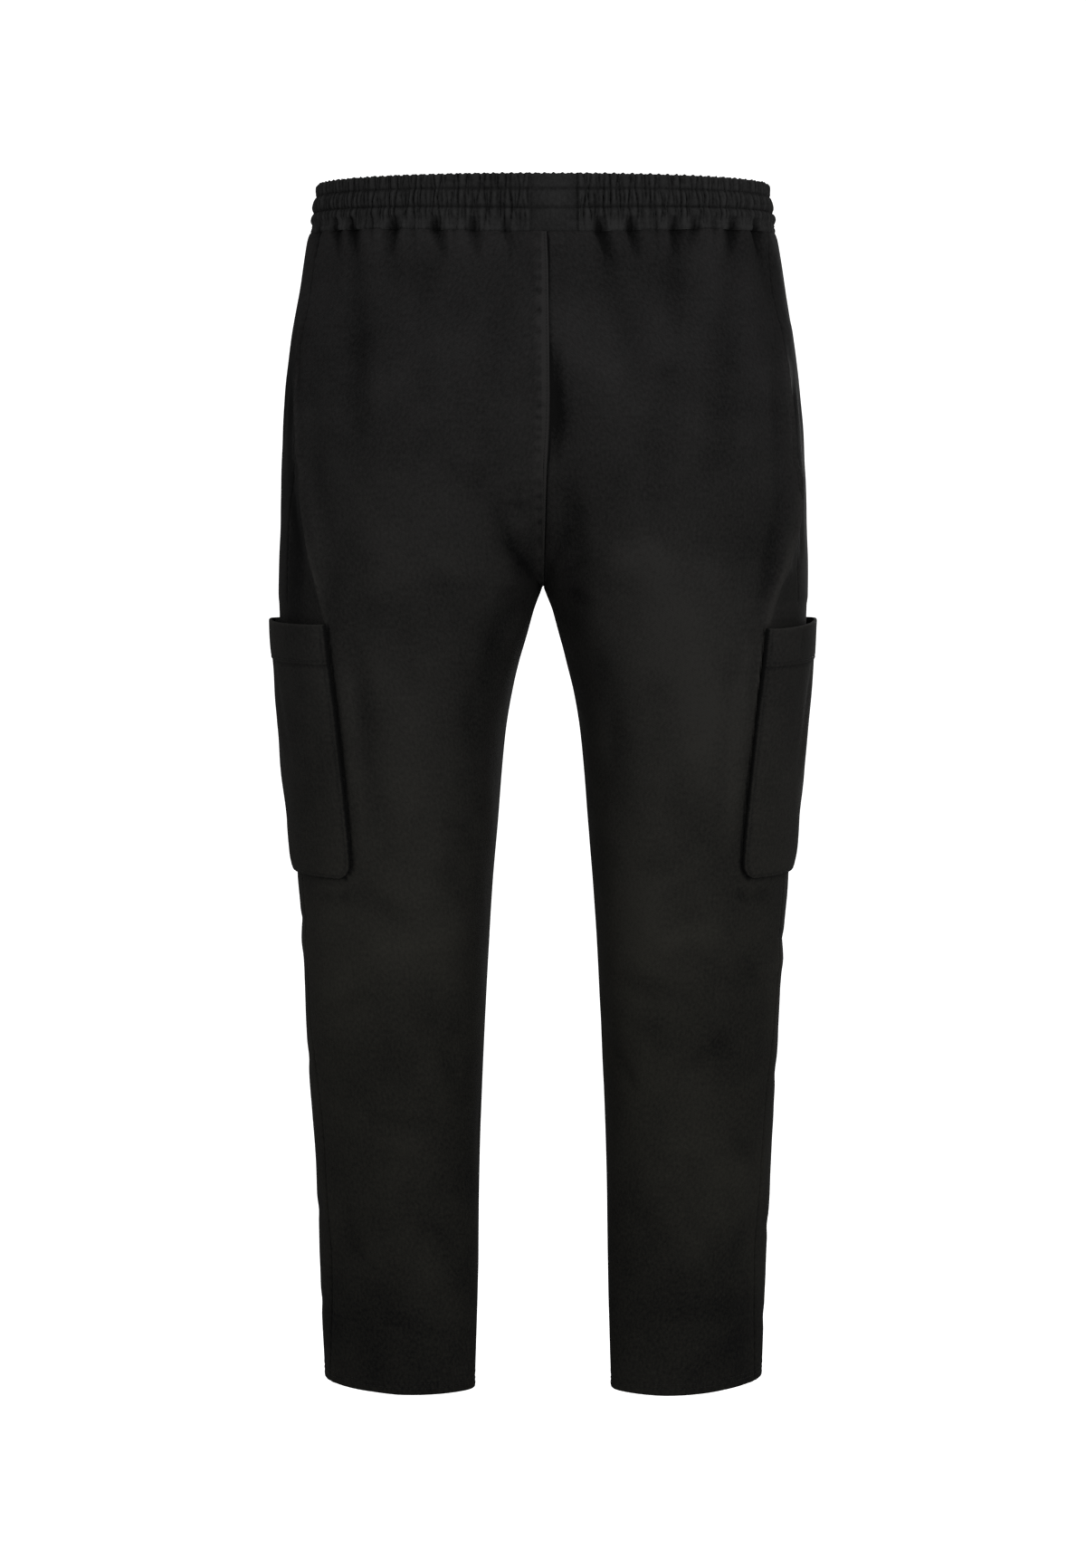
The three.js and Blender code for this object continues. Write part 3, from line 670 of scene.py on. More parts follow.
BAND_TOP_Z = 23.5
BAND_BOTTOM_SIDE_Z = -17
BAND_DROP_BACK = 6.5
BAND_DROP_FRONT = 3
BAND_DROP_FADE = 62
BAND_TOP_HALF_WIDTH = 187.8
BAND_TOP_HALF_DEPTH = 110.5
BAND_BOTTOM_HALF_WIDTH = 194
BAND_BOTTOM_HALF_DEPTH = 112.6
BAND_POWER = 2.2
BAND_FLAT_LENGTH = 38
BAND_FLAT_MIDDLE = 9
BAND_BROAD_WAVES = 24
BAND_WORN = 0.16
BAND_OVERHANG = -0.012
BAND_INNER_OFFSET = -1.4
NOTCH_LENGTH = 24
NOTCH_TOP = 0.26


def waist_seam_z(angle):
    """The height at which the waistband is sewn on, lower at the middle of the back."""
    drop = np.where(angle > 0, BAND_DROP_BACK, BAND_DROP_FRONT)
    return BAND_BOTTOM_SIDE_Z - drop * np.sin(angle) ** 2


def pleat_lift(pleats, x, below):
    """The pleats under the waist seam: sharp notches that run out as soft troughs."""
    lift = np.zeros_like(x)
    near = np.clip(below / NOTCH_LENGTH, 0, 1)
    for place, lean, length, width, depth in zip(*pleats.values()):
        t = np.clip(below / length, 0, 1)
        beside = x - place - lean * np.maximum(t, 0.5 * near)
        away = np.abs(beside) * np.where(beside * lean > 0, 0.85, 1.3)
        notch = np.clip(1 - away / (1.15 * width * (1 - 0.6 * near)), 0, 1) ** 0.9
        trough = smooth(1 - away / (width * (1.3 + 1.2 * t)))
        lift -= depth * (0.9 * notch * (1 - near) ** 0.7 + 0.38 * trough * (1 - t) ** 1.4)
    puff = 2.2 * np.exp(-below / 14) * (1 - np.exp(-below / 4))
    return lift + puff + 0.4 * np.exp(-below / 2)


# Sewing on the panels

# How far the left back panel laps over the right one
BACK_LAP = table("z over", [(-17, 2.6), (-60, 4.2), (-151, 5.0), (-218, 3.0), (-311, 1.0)])
FRONT_LAP = 1.6
LAP_WIDTH = 10.0
LAP_HEIGHT = 1.1
LAP_DIP = 0.8
LAP_WALL = 0.9
ALLOWANCE = 6.0
ALLOWANCE_WALL = 1.1
ALLOWANCE_GAP = 0.35
# How far the side allowance reaches, how high the waist allowance stands, and how far in
SIDE_TUCKS = np.array([ALLOWANCE, 3.0, 0.2])
WAIST_TUCKS = (6.5, 3.0, 0.4)
WAIST_TUCK_IN = 3.4
PUCKER_PITCH = 11.5
HEM_ROWS = (6.0, 10.0)
CENTRE_ROW = 2.0

back_lap = curve(BACK_LAP, "over")


def centre_lap(towards, z):
    """How far the left panel laps over the right one at the centre seam."""
    return back_lap(z) if towards == BACK else np.full_like(z, FRONT_LAP)


def waviness(places, seed, pitch, count):
    """A gentle random waviness of about 1 in height, the same on each run."""
    random = np.random.default_rng(seed)
    total = np.zeros(places.shape[:-1])
    for _ in range(count):
        direction = random.normal(size=places.shape[-1])
        direction /= np.linalg.norm(direction)
        length = pitch * random.uniform(0.7, 1.6)
        phase = random.uniform(0, 2 * math.pi)
        total += np.sin(2 * math.pi * (places @ direction) / length + phase)
    return total / math.sqrt(count)


# Soft waves of the whole cloth: height, squeeze along the leg, seed, pitch and how many
SOFT_WAVES = ((0.75, 0.7, 11, 120, 9), (0.30, 0.7, 13, 48, 12), (0.14, 0.6, 12, 22, 14))

POCKET_TOP_Z = -339
POCKET_BOTTOM_Z = -552
POCKET_FRONT_ARC = -88
POCKET_BACK_ARC_TOP = 121
POCKET_BACK_ARC_BOTTOM = 108.5
POCKET_SHIFT = {LEFT: 3.4, RIGHT: -3.2}
POCKET_CORNER = 14
POCKET_CLEAR_ABOVE = 12
POCKET_CLEAR_BESIDE = 7
MOUTH_SAG = {LEFT: 1.0, RIGHT: 4.5}


def under_pocket(side, arc, z):
    """1 where the pocket covers the cloth, falling to 0 just outside its edges."""
    arc = arc - POCKET_SHIFT[side]
    inside = np.minimum(pocket_inside(arc, z), POCKET_TOP_Z + POCKET_CLEAR_ABOVE - z)
    return smooth((inside + POCKET_CLEAR_BESIDE) / POCKET_CLEAR_BESIDE)


def pocket_inside(arc, z):
    """How far inside a pocket's sewn edges a place on the leg lies."""
    share = np.clip((POCKET_TOP_Z - z) / (POCKET_TOP_Z - POCKET_BOTTOM_Z), 0, 1)
    back = POCKET_BACK_ARC_TOP + (POCKET_BACK_ARC_BOTTOM - POCKET_BACK_ARC_TOP) * share
    beside = np.minimum(arc - POCKET_FRONT_ARC, back - arc)
    above = z - POCKET_BOTTOM_Z
    rounded = POCKET_CORNER - np.hypot(POCKET_CORNER - beside, POCKET_CORNER - above)
    in_corner = (beside < POCKET_CORNER) & (above < POCKET_CORNER)
    return np.where(in_corner, rounded, np.minimum(beside, above))


def pocket_groove(side, arc, z):
    """The dip that a pocket's seam pulls into the leg along its edge."""
    inside = pocket_inside(arc - POCKET_SHIFT[side], z)
    start = POCKET_TOP_Z - MOUTH_SAG[side]
    return 1.1 * np.exp(-(((inside + 0.2) / 1.7) ** 2)) * smooth((start - z) / 4)


def cloth_lift(side, towards, angle, z, point, sewing=True):
    """How far the cloth stands off the smooth form: folds, creases, pleats and seams."""
    x = point[..., 0]
    width = section(z)[1]
    end = end_angle(z, towards)
    to_end = np.linalg.norm(point - form_point(side, end, z), axis=-1)
    to_end_folds = (np.abs(end) - np.abs(angle)) * width
    to_side_folds = np.abs(np.sin(angle)) * width
    rear = angle > 0
    fade = smooth(to_end_folds / FOLD_FADE) * smooth(to_side_folds / FOLD_FADE)
    main = np.where(rear, fold_lift(BACK_FOLDS, x, z), fold_lift(FRONT_FOLDS, x, z)) * fade
    if not sewing:
        return main
    arc = arc_of(angle, z)
    clear = 1 - under_pocket(side, arc, z)
    facing = smooth(np.abs(np.sin(angle)) / 0.35)
    creases = np.where(
        rear, fold_lift(BACK_CREASES, x, z) + line_lift(BACK_LINES, x, z),
        fold_lift(FRONT_CREASES, x, z) + line_lift(FRONT_LINES, x, z),
    )
    fine = creases * smooth(to_end_folds / 5) * facing
    outwards = smooth((np.cos(angle) - 0.35) / 0.4)
    fine = fine + line_lift(SIDE_LINES, point[..., 1], z + 14 * (side > 0)) * outwards
    below = waist_seam_z(angle) - z
    pleats = np.where(rear, pleat_lift(BACK_PLEATS, x, below), pleat_lift(FRONT_PLEATS, x, below))
    fine = fine + pleats * smooth(to_end / 4)
    steady = smooth(to_end_folds / 12)
    for height, stretch, seed, pitch, count in SOFT_WAVES:
        fine = fine + height * waviness(point * (1, 1, stretch), seed, pitch, count) * steady
    seam_point = form_point(side, np.radians(seam_angle(z)), z)
    to_seam = np.linalg.norm(point - seam_point, axis=-1)
    fine = fine + side_seam_lift(towards, to_seam, z)
    centre = z > CROTCH_Z
    fine = fine + np.where(centre, centre_seam_lift(side, towards, to_end, z), 0)
    fine = fine + np.where(centre, 0, -0.7 * np.exp(-((to_end / 1.1) ** 2)))
    fine = fine + hem_lift(z, arc)
    ridges = np.where(rear, line_lift(BACK_RIDGES, x, z), line_lift(FRONT_RIDGES, x, z))
    beyond = smooth(-pocket_inside(arc - POCKET_SHIFT[side], z) / 2)
    by_pocket = np.where(z < POCKET_TOP_Z, beyond, 1)
    groove = pocket_groove(side, arc, z)
    return main + fine * clear - 0.25 * (1 - clear) - groove + ridges * facing * by_pocket


def side_seam_lift(towards, to_seam, z):
    """The side seam: a narrow groove, pressed open, with faint puckers beside it."""
    groove = -0.8 * np.exp(-((to_seam / 1.0) ** 2))
    pressed = 0.3 * bump(to_seam - 5, 6)
    pucker = 0.22 * np.sin(2 * math.pi * z / 9.5 + 1.7 * np.sin(z / 23)) * bump(to_seam - 3, 7)
    return groove + (pressed if towards == BACK else 0.6 * pressed) + pucker


def pucker_turn(towards, z):
    """The uneven beat of the puckers along a centre seam, as an angle."""
    uneven = 2.4 * np.sin(z / 29) + 1.5 * np.sin(z / 9.7)
    return 2 * math.pi * z / PUCKER_PITCH + uneven + (0 if towards == BACK else 1.9)


def centre_seam_lift(side, towards, to_end, z):
    """The centre seam: the left panel laps over the right one, puckered along its row."""
    lap = centre_lap(towards, z)
    if side == RIGHT:
        return -LAP_DIP * smooth((lap + 1.6 - to_end) / 1.4)
    raised = LAP_HEIGHT * smooth((LAP_WIDTH + 3 - lap - to_end) / 3)
    turn = pucker_turn(towards, z)
    size = 0.9 + 0.35 * np.sin(z / 17)
    pit = np.clip(1.5 * np.sin(turn) - 0.4, 0, 1)
    pucker = size * (0.3 - 0.95 * pit) * bump(to_end - 7 + lap, 6.5)
    return raised + pucker


def seam_shade(side, towards, angle, z, point):
    """How much darker, below zero, or paler the cloth is painted by its seams, its pockets and along
    its ridges: painted shade and shadow, and painted highlight.
    """
    to_end = np.linalg.norm(point - form_point(side, end_angle(z, towards), z), axis=-1)
    lap = centre_lap(towards, z)
    if side == RIGHT:
        # Painted shadow of the left panel's lap along the right panel
        seam = -0.9 * np.exp(-(((to_end - lap - 0.4) / 0.8) ** 2))
    else:
        turn = pucker_turn(towards, z)
        # Painted shade in the pits of the puckers, painted highlight on their crowns and along the
        # lap's edge
        pit = np.clip(1.5 * np.sin(turn) - 0.4, 0, 1) * (0.55 + 0.45 * np.sin(z / 13 + 2))
        light = np.clip(-1.5 * np.sin(turn) - 0.4, 0, 1)
        by_row = bump(to_end - 7 + lap, 7)
        seam = (0.18 * light - 0.3 * pit) * by_row + 0.5 * np.exp(-((to_end / 1.3) ** 2))
    shade = np.where(z > CROTCH_Z, seam, 0)
    inside = pocket_inside(arc_of(angle, z) - POCKET_SHIFT[side], z)
    start = POCKET_TOP_Z - MOUTH_SAG[side]
    # Painted shadow in the gap along a pocket's sewn edges
    by_pocket = (z < start) * np.exp(-(((inside + 0.7) / 1.3) ** 2))
    ridges = BACK_RIDGES if towards == BACK else FRONT_RIDGES
    # Painted highlight along the ridges' crests, partly wear
    on_ridge = np.clip(line_lift(ridges, point[..., 0], z) / 3, 0, 1) ** 1.5
    # Painted shade on the lower legs, darker towards the hem
    lower = smooth((LOWER_LEG_SHADE_Z - z) / LOWER_LEG_SHADE_FADE)
    return shade - 0.65 * by_pocket + RIDGE_WEAR_AND_HIGHLIGHT * on_ridge - LOWER_LEG_SHADE * lower


def hem_lift(z, arc):
    """The turned-up hem: two stitched dips, small puckers and a rounded lower fold."""
    up = z - HEM_Z
    rows = sum(-0.32 * np.exp(-(((up - row) / 0.9) ** 2)) for row in HEM_ROWS)
    swell = 0.35 * bump(up - 3, 5) + 0.25 * bump(up - 8, 2.2) + 0.2 * bump(up - 12.5, 3.5)
    roping = 0.18 * np.sin(2 * math.pi * (arc + 0.8 * up) / 8.3 + np.sin(arc / 19)) * bump(up - 7, 10)
    roll = -1.1 * smooth(1 - up / 1.3) ** 2
    return rows + swell + roping + roll


def cloth_point(side, towards, angle, z, out=0.0, sewing=True):
    """Points of the finished cloth, and their normals, in millimetres."""
    angle, z = np.broadcast_arrays(np.asarray(angle, float), np.asarray(z, float))
    point = form_point(side, angle, z)
    normal = form_normal(side, angle, z)
    lift = cloth_lift(side, towards, angle, z, point, sewing)
    return point + normal * (lift + out)[..., None], normal


# Meshes


def new_mesh(name, points, quads, uvs=None, wear_and_light=None):
    """An object from points in millimetres and faces of four corners, smooth shaded."""
    mesh = bpy.data.meshes.new(name)
    points = np.asarray(points, np.float32).reshape(-1, 3) * MM
    quads = np.asarray(quads, np.int32)
    mesh.vertices.add(len(points))
    mesh.vertices.foreach_set("co", points.ravel())
    mesh.loops.add(quads.size)
    mesh.loops.foreach_set("vertex_index", quads.ravel())
    mesh.polygons.add(len(quads))
    mesh.polygons.foreach_set("loop_start", np.arange(0, quads.size, quads.shape[1], dtype=np.int32))
    mesh.polygons.foreach_set("use_smooth", np.ones(len(quads), bool))
    if uvs is not None:
        layer = mesh.uv_layers.new(name="cloth")
        flat = np.asarray(uvs, np.float32).reshape(-1, 2)[quads.ravel()] * MM
        layer.data.foreach_set("uv", flat.ravel())
    if wear_and_light is not None:
        # Per-point wear, painted highlight and painted shade, read by the twill material
        layer = mesh.attributes.new("wear_and_light", "FLOAT", "POINT")
        layer.data.foreach_set("value", np.asarray(wear_and_light, np.float32).ravel())
    mesh.update(calc_edges=True)
    mesh.validate()
    piece = bpy.data.objects.new(name, mesh)
    bpy.context.scene.collection.objects.link(piece)
    return piece


def outward(points, quads):
    """The quads, turned over if they face inwards."""
    a, b, c, d = (points[quads[:, i]] for i in range(4))
    volume = np.sum(a * (np.cross(b, c) + np.cross(c, d)))
    return quads if volume > 0 else quads[:, ::-1]


def shell(name, outer, inner, uvs, wear_and_light):
    """A closed wall of cloth between an outer and an inner grid of the same size."""
    rows, columns = outer.shape[:2]
    index = np.arange(2 * rows * columns).reshape(2, rows, columns)
    top, under = index
    faces = [
        np.stack([top[:-1, :-1], top[1:, :-1], top[1:, 1:], top[:-1, 1:]], -1),
        np.stack([under[:-1, :-1], under[:-1, 1:], under[1:, 1:], under[1:, :-1]], -1),
        np.stack([top[0, :-1], top[0, 1:], under[0, 1:], under[0, :-1]], -1),
        np.stack([top[-1, :-1], under[-1, :-1], under[-1, 1:], top[-1, 1:]], -1),
        np.stack([top[:-1, 0], under[:-1, 0], under[1:, 0], top[1:, 0]], -1),
        np.stack([top[:-1, -1], top[1:, -1], under[1:, -1], under[:-1, -1]], -1),
    ]
    quads = np.concatenate([face.reshape(-1, 4) for face in faces])
    points = np.concatenate([outer.reshape(-1, 3), inner.reshape(-1, 3)])
    both = np.concatenate([uvs.reshape(-1, 2), uvs.reshape(-1, 2)])
    piece = new_mesh(name, points, outward(points, quads), both, np.tile(wear_and_light.ravel(), 2))
    piece.data.set_sharp_from_angle(angle=math.radians(50))
    return piece


def spaced(*stops):
    """Heights from the first stop to the last, with each stretch's own spacing."""
    levels = [stops[0][0]]
    for (start, step), (end, _) in zip(stops, stops[1:]):
        count = max(1, round(abs(end - start) / step))
        levels.extend(start + (end - start) * (i + 1) / count for i in range(count))
    return np.array(levels, float)


# The widest panel is about this wide. Its points stand closer together by its seams.
PANEL_WIDTH = 370
SEAM_COLUMNS = np.array([0, 0.5, 1.1, 1.9, 2.9, 4.2, 6.0, 8.4])


def panel_grid(towards, grid):
    """Angles, heights and cloth lengths of one panel's points, from side seam to inner end."""
    levels = spaced(
        (BAND_BOTTOM_SIDE_Z, 0.7), (-21, 1.9), (-66, grid * 0.75), (-334, grid * 1.4),
        (-976, 1.3), (-994, 0.5), (HEM_Z, 1),
    )
    lengths = arc_lengths(levels)
    seam = np.radians(seam_angle(levels)) + towards * HALF_SEAM_GAP / section(levels)[1]
    ends = end_angle(levels, towards)
    columns = int(PANEL_WIDTH / grid)
    angle_rows = []
    arc_rows = []
    for i in range(len(levels)):
        start, end = np.interp([seam[i], ends[i]], ARC_ANGLES, lengths[i])
        span = abs(end - start)
        middle = np.linspace(SEAM_COLUMNS[-1], span - SEAM_COLUMNS[-1], columns)[1:-1]
        along = np.concatenate([SEAM_COLUMNS, middle, span - SEAM_COLUMNS[::-1]])
        arcs = start + towards * along
        row = np.interp(arcs, lengths[i], ARC_ANGLES)
        row[0] = seam[i]
        row[-1] = ends[i]
        angle_rows.append(row)
        arc_rows.append(arcs)
    angles = np.array(angle_rows)
    z = np.repeat(levels[:, None], angles.shape[1], axis=1)
    drop = np.clip(1 - (BAND_BOTTOM_SIDE_Z - z) / BAND_DROP_FADE, 0, 1)
    z = z + (waist_seam_z(angles) - BAND_BOTTOM_SIDE_Z) * drop
    z[0] -= 2 * HALF_SEAM_GAP
    angles[:, -1] = end_angle(z[:, -1], towards)
    return angles, z, np.array(arc_rows)


def wall_at(z, sizes):
    """The thickness of a panel's cloth, doubled up in its hem."""
    in_hem = smooth((HEM_Z + HEM_DEPTH - z) / 0.8)
    return (sizes.cloth_wall + (sizes.hem_wall - sizes.cloth_wall) * in_hem) / MM


def past_inner_end(side, towards, beyond, z, out):
    """Cloth past a panel's inner end, laid against the panel that it meets there."""
    centre = z > CROTCH_Z
    ends = np.abs(end_angle(z, towards))
    lengths = arc_lengths(z)
    ways = np.where(centre, towards, -towards)
    angles = np.empty_like(beyond)
    for i in range(len(z)):
        start = np.interp(ways[i] * ends[i], ARC_ANGLES, lengths[i])
        angles[i] = np.interp(start - ways[i] * beyond[i], lengths[i], ARC_ANGLES)
    points = np.empty((*beyond.shape, 3))
    normals = np.empty_like(points)
    for rows, other_side, way in ((centre, -side, towards), (~centre, side, -towards)):
        if rows.any():
            placed = cloth_point(other_side, way, angles[rows], z[rows, None], out[rows])
            points[rows], normals[rows] = placed
    return points, normals, angles


def inner_allowance(side, towards, z, sizes):
    """The strip past a panel's inner end: a lap on the left centre seam, tucked under elsewhere."""
    shares = np.array([0.0, 0.35, 0.75, 1.0])
    centre = (z > CROTCH_Z)[:, None]
    near = smooth(np.abs(z - CROTCH_Z) / 12)[:, None]
    under = -(wall_at(z, sizes)[:, None] + ALLOWANCE_GAP)
    hidden = (0.5 + ALLOWANCE * near) * shares
    lap = centre_lap(towards, z)[:, None]
    on_top = centre & (side == LEFT)
    only_gap = ~centre & (towards == BACK)
    beyond = np.where(on_top, lap * np.array([0.3, 0.7, 0.92, 1.0]), hidden)
    beyond = np.where(only_gap, 0.3 * shares, beyond)
    over = (LAP_HEIGHT + LAP_DIP) - np.array([0, 0, 0.12, 0.55])
    out = np.where(on_top, over, under + 0 * shares)
    thick = np.where(on_top, LAP_WALL, ALLOWANCE_WALL) + 0 * shares
    points, normals, angles = past_inner_end(side, towards, beyond, z, out)
    return points, normals, thick, beyond, angles


def panel(name, side, towards, sizes):
    """One leg panel as a wall of twill, with its hem and its seam allowances."""
    angles, z, arcs = panel_grid(towards, sizes.grid / MM)
    outer, normal = cloth_point(side, towards, angles, z)
    plain = form_point(side, angles, z)
    # How far the fine creases stand out, for their painted shade and painted highlight
    lift = np.sum((outer - plain) * normal, axis=-1)
    main = cloth_lift(side, towards, angles, z, plain, sewing=False)
    lift = lift - MAIN_FOLDS_UNPAINTED * main
    shade = seam_shade(side, towards, angles, z, plain)
    edge = smooth((z - HEM_Z) / 1.0)
    thick = wall_at(z, sizes) * (0.45 + 0.55 * edge)
    past = inner_allowance(side, towards, z[:, -1], sizes)
    outer = np.concatenate([outer, past[0]], axis=1)
    normal = np.concatenate([normal, past[1]], axis=1)
    thick = np.concatenate([thick, past[2]], axis=1)
    arcs = np.concatenate([arcs, arcs[:, -1:] + towards * past[3]], axis=1)
    heights = np.concatenate([z, np.repeat(z[:, -1:], past[3].shape[1], axis=1)], axis=1)
    if towards == FRONT:
        levels = z[:, 0]
        tucked = SIDE_TUCKS + 0 * levels[:, None]
        seam = arc_of(np.radians(seam_angle(levels)), levels)[:, None]
        under = angles_at(levels, seam + tucked)
        out = -(wall_at(levels, sizes)[:, None] + ALLOWANCE_GAP) + 0 * tucked
        placed, turned = cloth_point(side, BACK, under, levels[:, None], out)
        outer = np.concatenate([placed, outer], axis=1)
        normal = np.concatenate([turned, normal], axis=1)
        thick = np.concatenate([np.full_like(tucked, ALLOWANCE_WALL), thick], axis=1)
        arcs = np.concatenate([arcs[:, :1] + tucked, arcs], axis=1)
        heights = np.concatenate([levels[:, None] + 0 * tucked, heights], axis=1)
    count = len(WAIST_TUCKS)
    tops = [waist_allowance(outer[0], normal[0], heights[0], rise) for rise in WAIST_TUCKS]
    outer = np.concatenate([tops, outer])
    normal = np.concatenate([[normal[0]] * count, normal])
    thick = np.concatenate([np.full((count, thick.shape[1]), ALLOWANCE_WALL), thick])
    arcs = np.concatenate([[arcs[0]] * count, arcs])
    heights = np.concatenate([[heights[0] + rise for rise in WAIST_TUCKS], heights])
    inner = outer - normal * thick[..., None]
    uvs = np.stack([side * towards * arcs, heights], -1)
    beside = (len(SIDE_TUCKS) if towards == FRONT else 0, past[3].shape[1])
    # Pale patches and painted light: wear, painted highlight and painted shade
    wear_and_light = wear_and_light_at(outer) + np.pad(rub_and_shade(lift) + shade, ((count, 0), beside), mode="edge")
    return shell(name, outer, inner, uvs, wear_and_light)


def waist_allowance(row, normal, heights, rise):
    """The top edge of a panel again, tucked up inside the waistband."""
    tucked = row - normal * WAIST_TUCK_IN
    tucked[:, 2] = heights + rise
    return tucked


def band_base(angle, share):
    """Points and normals of the waistband's plain form, by angle from the centre back."""
    width = BAND_BOTTOM_HALF_WIDTH + (BAND_TOP_HALF_WIDTH - BAND_BOTTOM_HALF_WIDTH) * share
    depth = BAND_BOTTOM_HALF_DEPTH + (BAND_TOP_HALF_DEPTH - BAND_BOTTOM_HALF_DEPTH) * share

    def ring(turn):
        x = np.sin(turn)
        y = -np.cos(turn)
        total = (np.abs(x) / width) ** BAND_POWER + (np.abs(y) / depth) ** BAND_POWER
        reach = total ** (-1 / BAND_POWER)
        return np.stack([x * reach, y * reach], -1)

    along = ring(angle + 0.001) - ring(angle - 0.001)
    normal = np.stack([along[..., 1], -along[..., 0], np.zeros_like(along[..., 0])], -1)
    normal /= np.linalg.norm(normal, axis=-1, keepdims=True)
    flat = ring(angle)
    seam = waist_seam_z(math.pi / 2 - np.abs(angle))
    z = seam + (BAND_TOP_Z - seam) * share
    return np.concatenate([flat, z[..., None]], -1), normal


BAND_ANGLES = np.linspace(-math.pi, math.pi, 3601)
BAND_RING = band_base(BAND_ANGLES, np.zeros_like(BAND_ANGLES))[0][:, :2]
BAND_ARCS = np.r_[0, np.cumsum(np.linalg.norm(np.diff(BAND_RING, axis=0), axis=1))]
BAND_LENGTH = BAND_ARCS[-1]
BAND_ARCS = BAND_ARCS - BAND_LENGTH / 2
BAND_COLUMNS = 1500

# Rows of stitching on the waistband, as shares of its height
BAND_STITCH_ROWS = (0.115, 0.185, 0.415, 0.735)
BAND_ROW_DEPTHS = (0.25, 0.25, 0.75, 0.5)
# How far the cloth swells between the rows, and how deep its gathers are there
BAND_SWELLS = (0.7, 0.4, 1.5, 1.6, 1.1)
BAND_GATHERS = (0.4, 0.5, 1.05, 1.2, 1.05)


def band_arc_of(x, back):
    """The length along the waistband from the centre back to a pleat at x."""
    near = np.abs(BAND_ANGLES) < math.pi / 2 if back else np.abs(BAND_ANGLES) > math.pi / 2
    places = np.where(near, BAND_RING[:, 0], np.inf)
    return BAND_ARCS[np.argmin(np.abs(places - x))]


def gather_edges(count, share):
    """The valleys between the gathers at one height, a little uneven."""
    half = BAND_FLAT_LENGTH / 2
    pitch = (BAND_LENGTH - BAND_FLAT_LENGTH) / count
    i = np.arange(count + 1)
    drift = 0.2 * np.sin(2.4 * i) + 0.1 * np.sin(5.1 * i + 1)
    lean = 0.16 * np.sin(3.3 * i + 7 * share) + 0.1 * np.sin(1.9 * i - 9 * share)
    shift = np.where((i > 0) & (i < count), pitch * (0.5 * drift + lean), 0)
    return half + pitch * i + shift


def band_lift(arc, share, sizes):
    """How far the waistband stands off its plain form: channels, gathers, notches and rows."""
    edges = (0.0, *BAND_STITCH_ROWS, 1.0)
    lift = np.full_like(arc, 0.5)
    strength = np.full_like(arc, 0.45)
    for low, high, swell, gathered in zip(edges, edges[1:], BAND_SWELLS, BAND_GATHERS):
        inside = (share >= low) & (share <= high)
        t = np.clip((share - low) / (high - low), 0, 1)
        if high == 1.0:
            t = t * 0.62
        dome = np.sin(math.pi * t) ** 0.7
        lift = np.where(inside, 0.45 + swell * dome, lift)
        strength = np.where(inside, 0.45 + (gathered - 0.45) * dome, strength)
    whole = np.mod(arc - BAND_FLAT_MIDDLE, BAND_LENGTH)
    count = sizes.gather_count
    profile = np.zeros_like(arc)
    for row in range(arc.shape[0]):
        valleys = gather_edges(count, share[row, 0])
        k = np.clip(np.searchsorted(valleys, whole[row], side="right") - 1, 0, count - 1)
        u = np.clip((whole[row] - valleys[k]) / (valleys[k + 1] - valleys[k]), 0, 1)
        size = 0.95 + 0.45 * np.sin(1.7 * k + 0.5) + 0.35 * np.sin(4.3 * k + 6 * share[row])
        ridge = 1 - np.abs(2 * u - 1) ** 2.0
        split = np.clip(0.5 + 0.9 * np.sin(2.9 * k + 5 * share[row]), 0, 1)
        crease = split * np.exp(-(((u - 0.5 - 0.12 * np.sin(3.7 * k)) / 0.13) ** 2))
        profile[row] = size * (ridge - 0.55) - 0.75 * crease
    half = BAND_FLAT_LENGTH / 2
    from_middle = np.minimum(whole, BAND_LENGTH - whole)
    gathered_here = smooth((from_middle - half) / 1.5)
    lift = lift + sizes.gather_height / MM * 1.6 * strength * profile * gathered_here
    right = np.where(whole < BAND_LENGTH / 2, 0.9, 0.35)
    join = -right * np.exp(-(((from_middle - half) / 0.9) ** 2))
    flat_swell = (lift - 0.45) * (1 - gathered_here)
    lift = lift + join - 0.75 * flat_swell
    up = np.clip(share / NOTCH_TOP, 0, 1)
    for back, pleats in ((True, BACK_PLEATS), (False, FRONT_PLEATS)):
        for x, width, depth in zip(pleats["x"], pleats["width"], pleats["depth"]):
            away = np.abs(arc - band_arc_of(x, back)) / (width * (1.15 - 0.4 * up))
            lift = lift - 1.1 * depth * np.clip(1 - away, 0, 1) ** 0.8 * (1 - up) ** 0.6
    for row, depth in zip(BAND_STITCH_ROWS, BAND_ROW_DEPTHS):
        lift = lift - depth * np.exp(-(((share - row) / 0.02) ** 2))
    return lift


def band_surface(arc, share, sizes, out=0.0):
    """Points of the finished waistband and their normals, in millimetres."""
    angle = np.interp(arc, BAND_ARCS, BAND_ANGLES)
    point, normal = band_base(angle, share)
    lift = band_lift(arc, share, sizes)
    lift = lift - 1.3 * smooth((share - 0.93) / 0.07) ** 2 - 0.2 * np.exp(-((share / 0.012) ** 2))
    point = point + normal * (lift + out)[..., None]
    frill = 0.4 * np.sin(2 * math.pi * arc / 7.3 + 1.5 * np.sin(arc / 31)) + 0.3 * np.sin(arc / 0.61)
    point[..., 2] += frill * smooth((share - 0.75) / 0.25)
    return point, normal


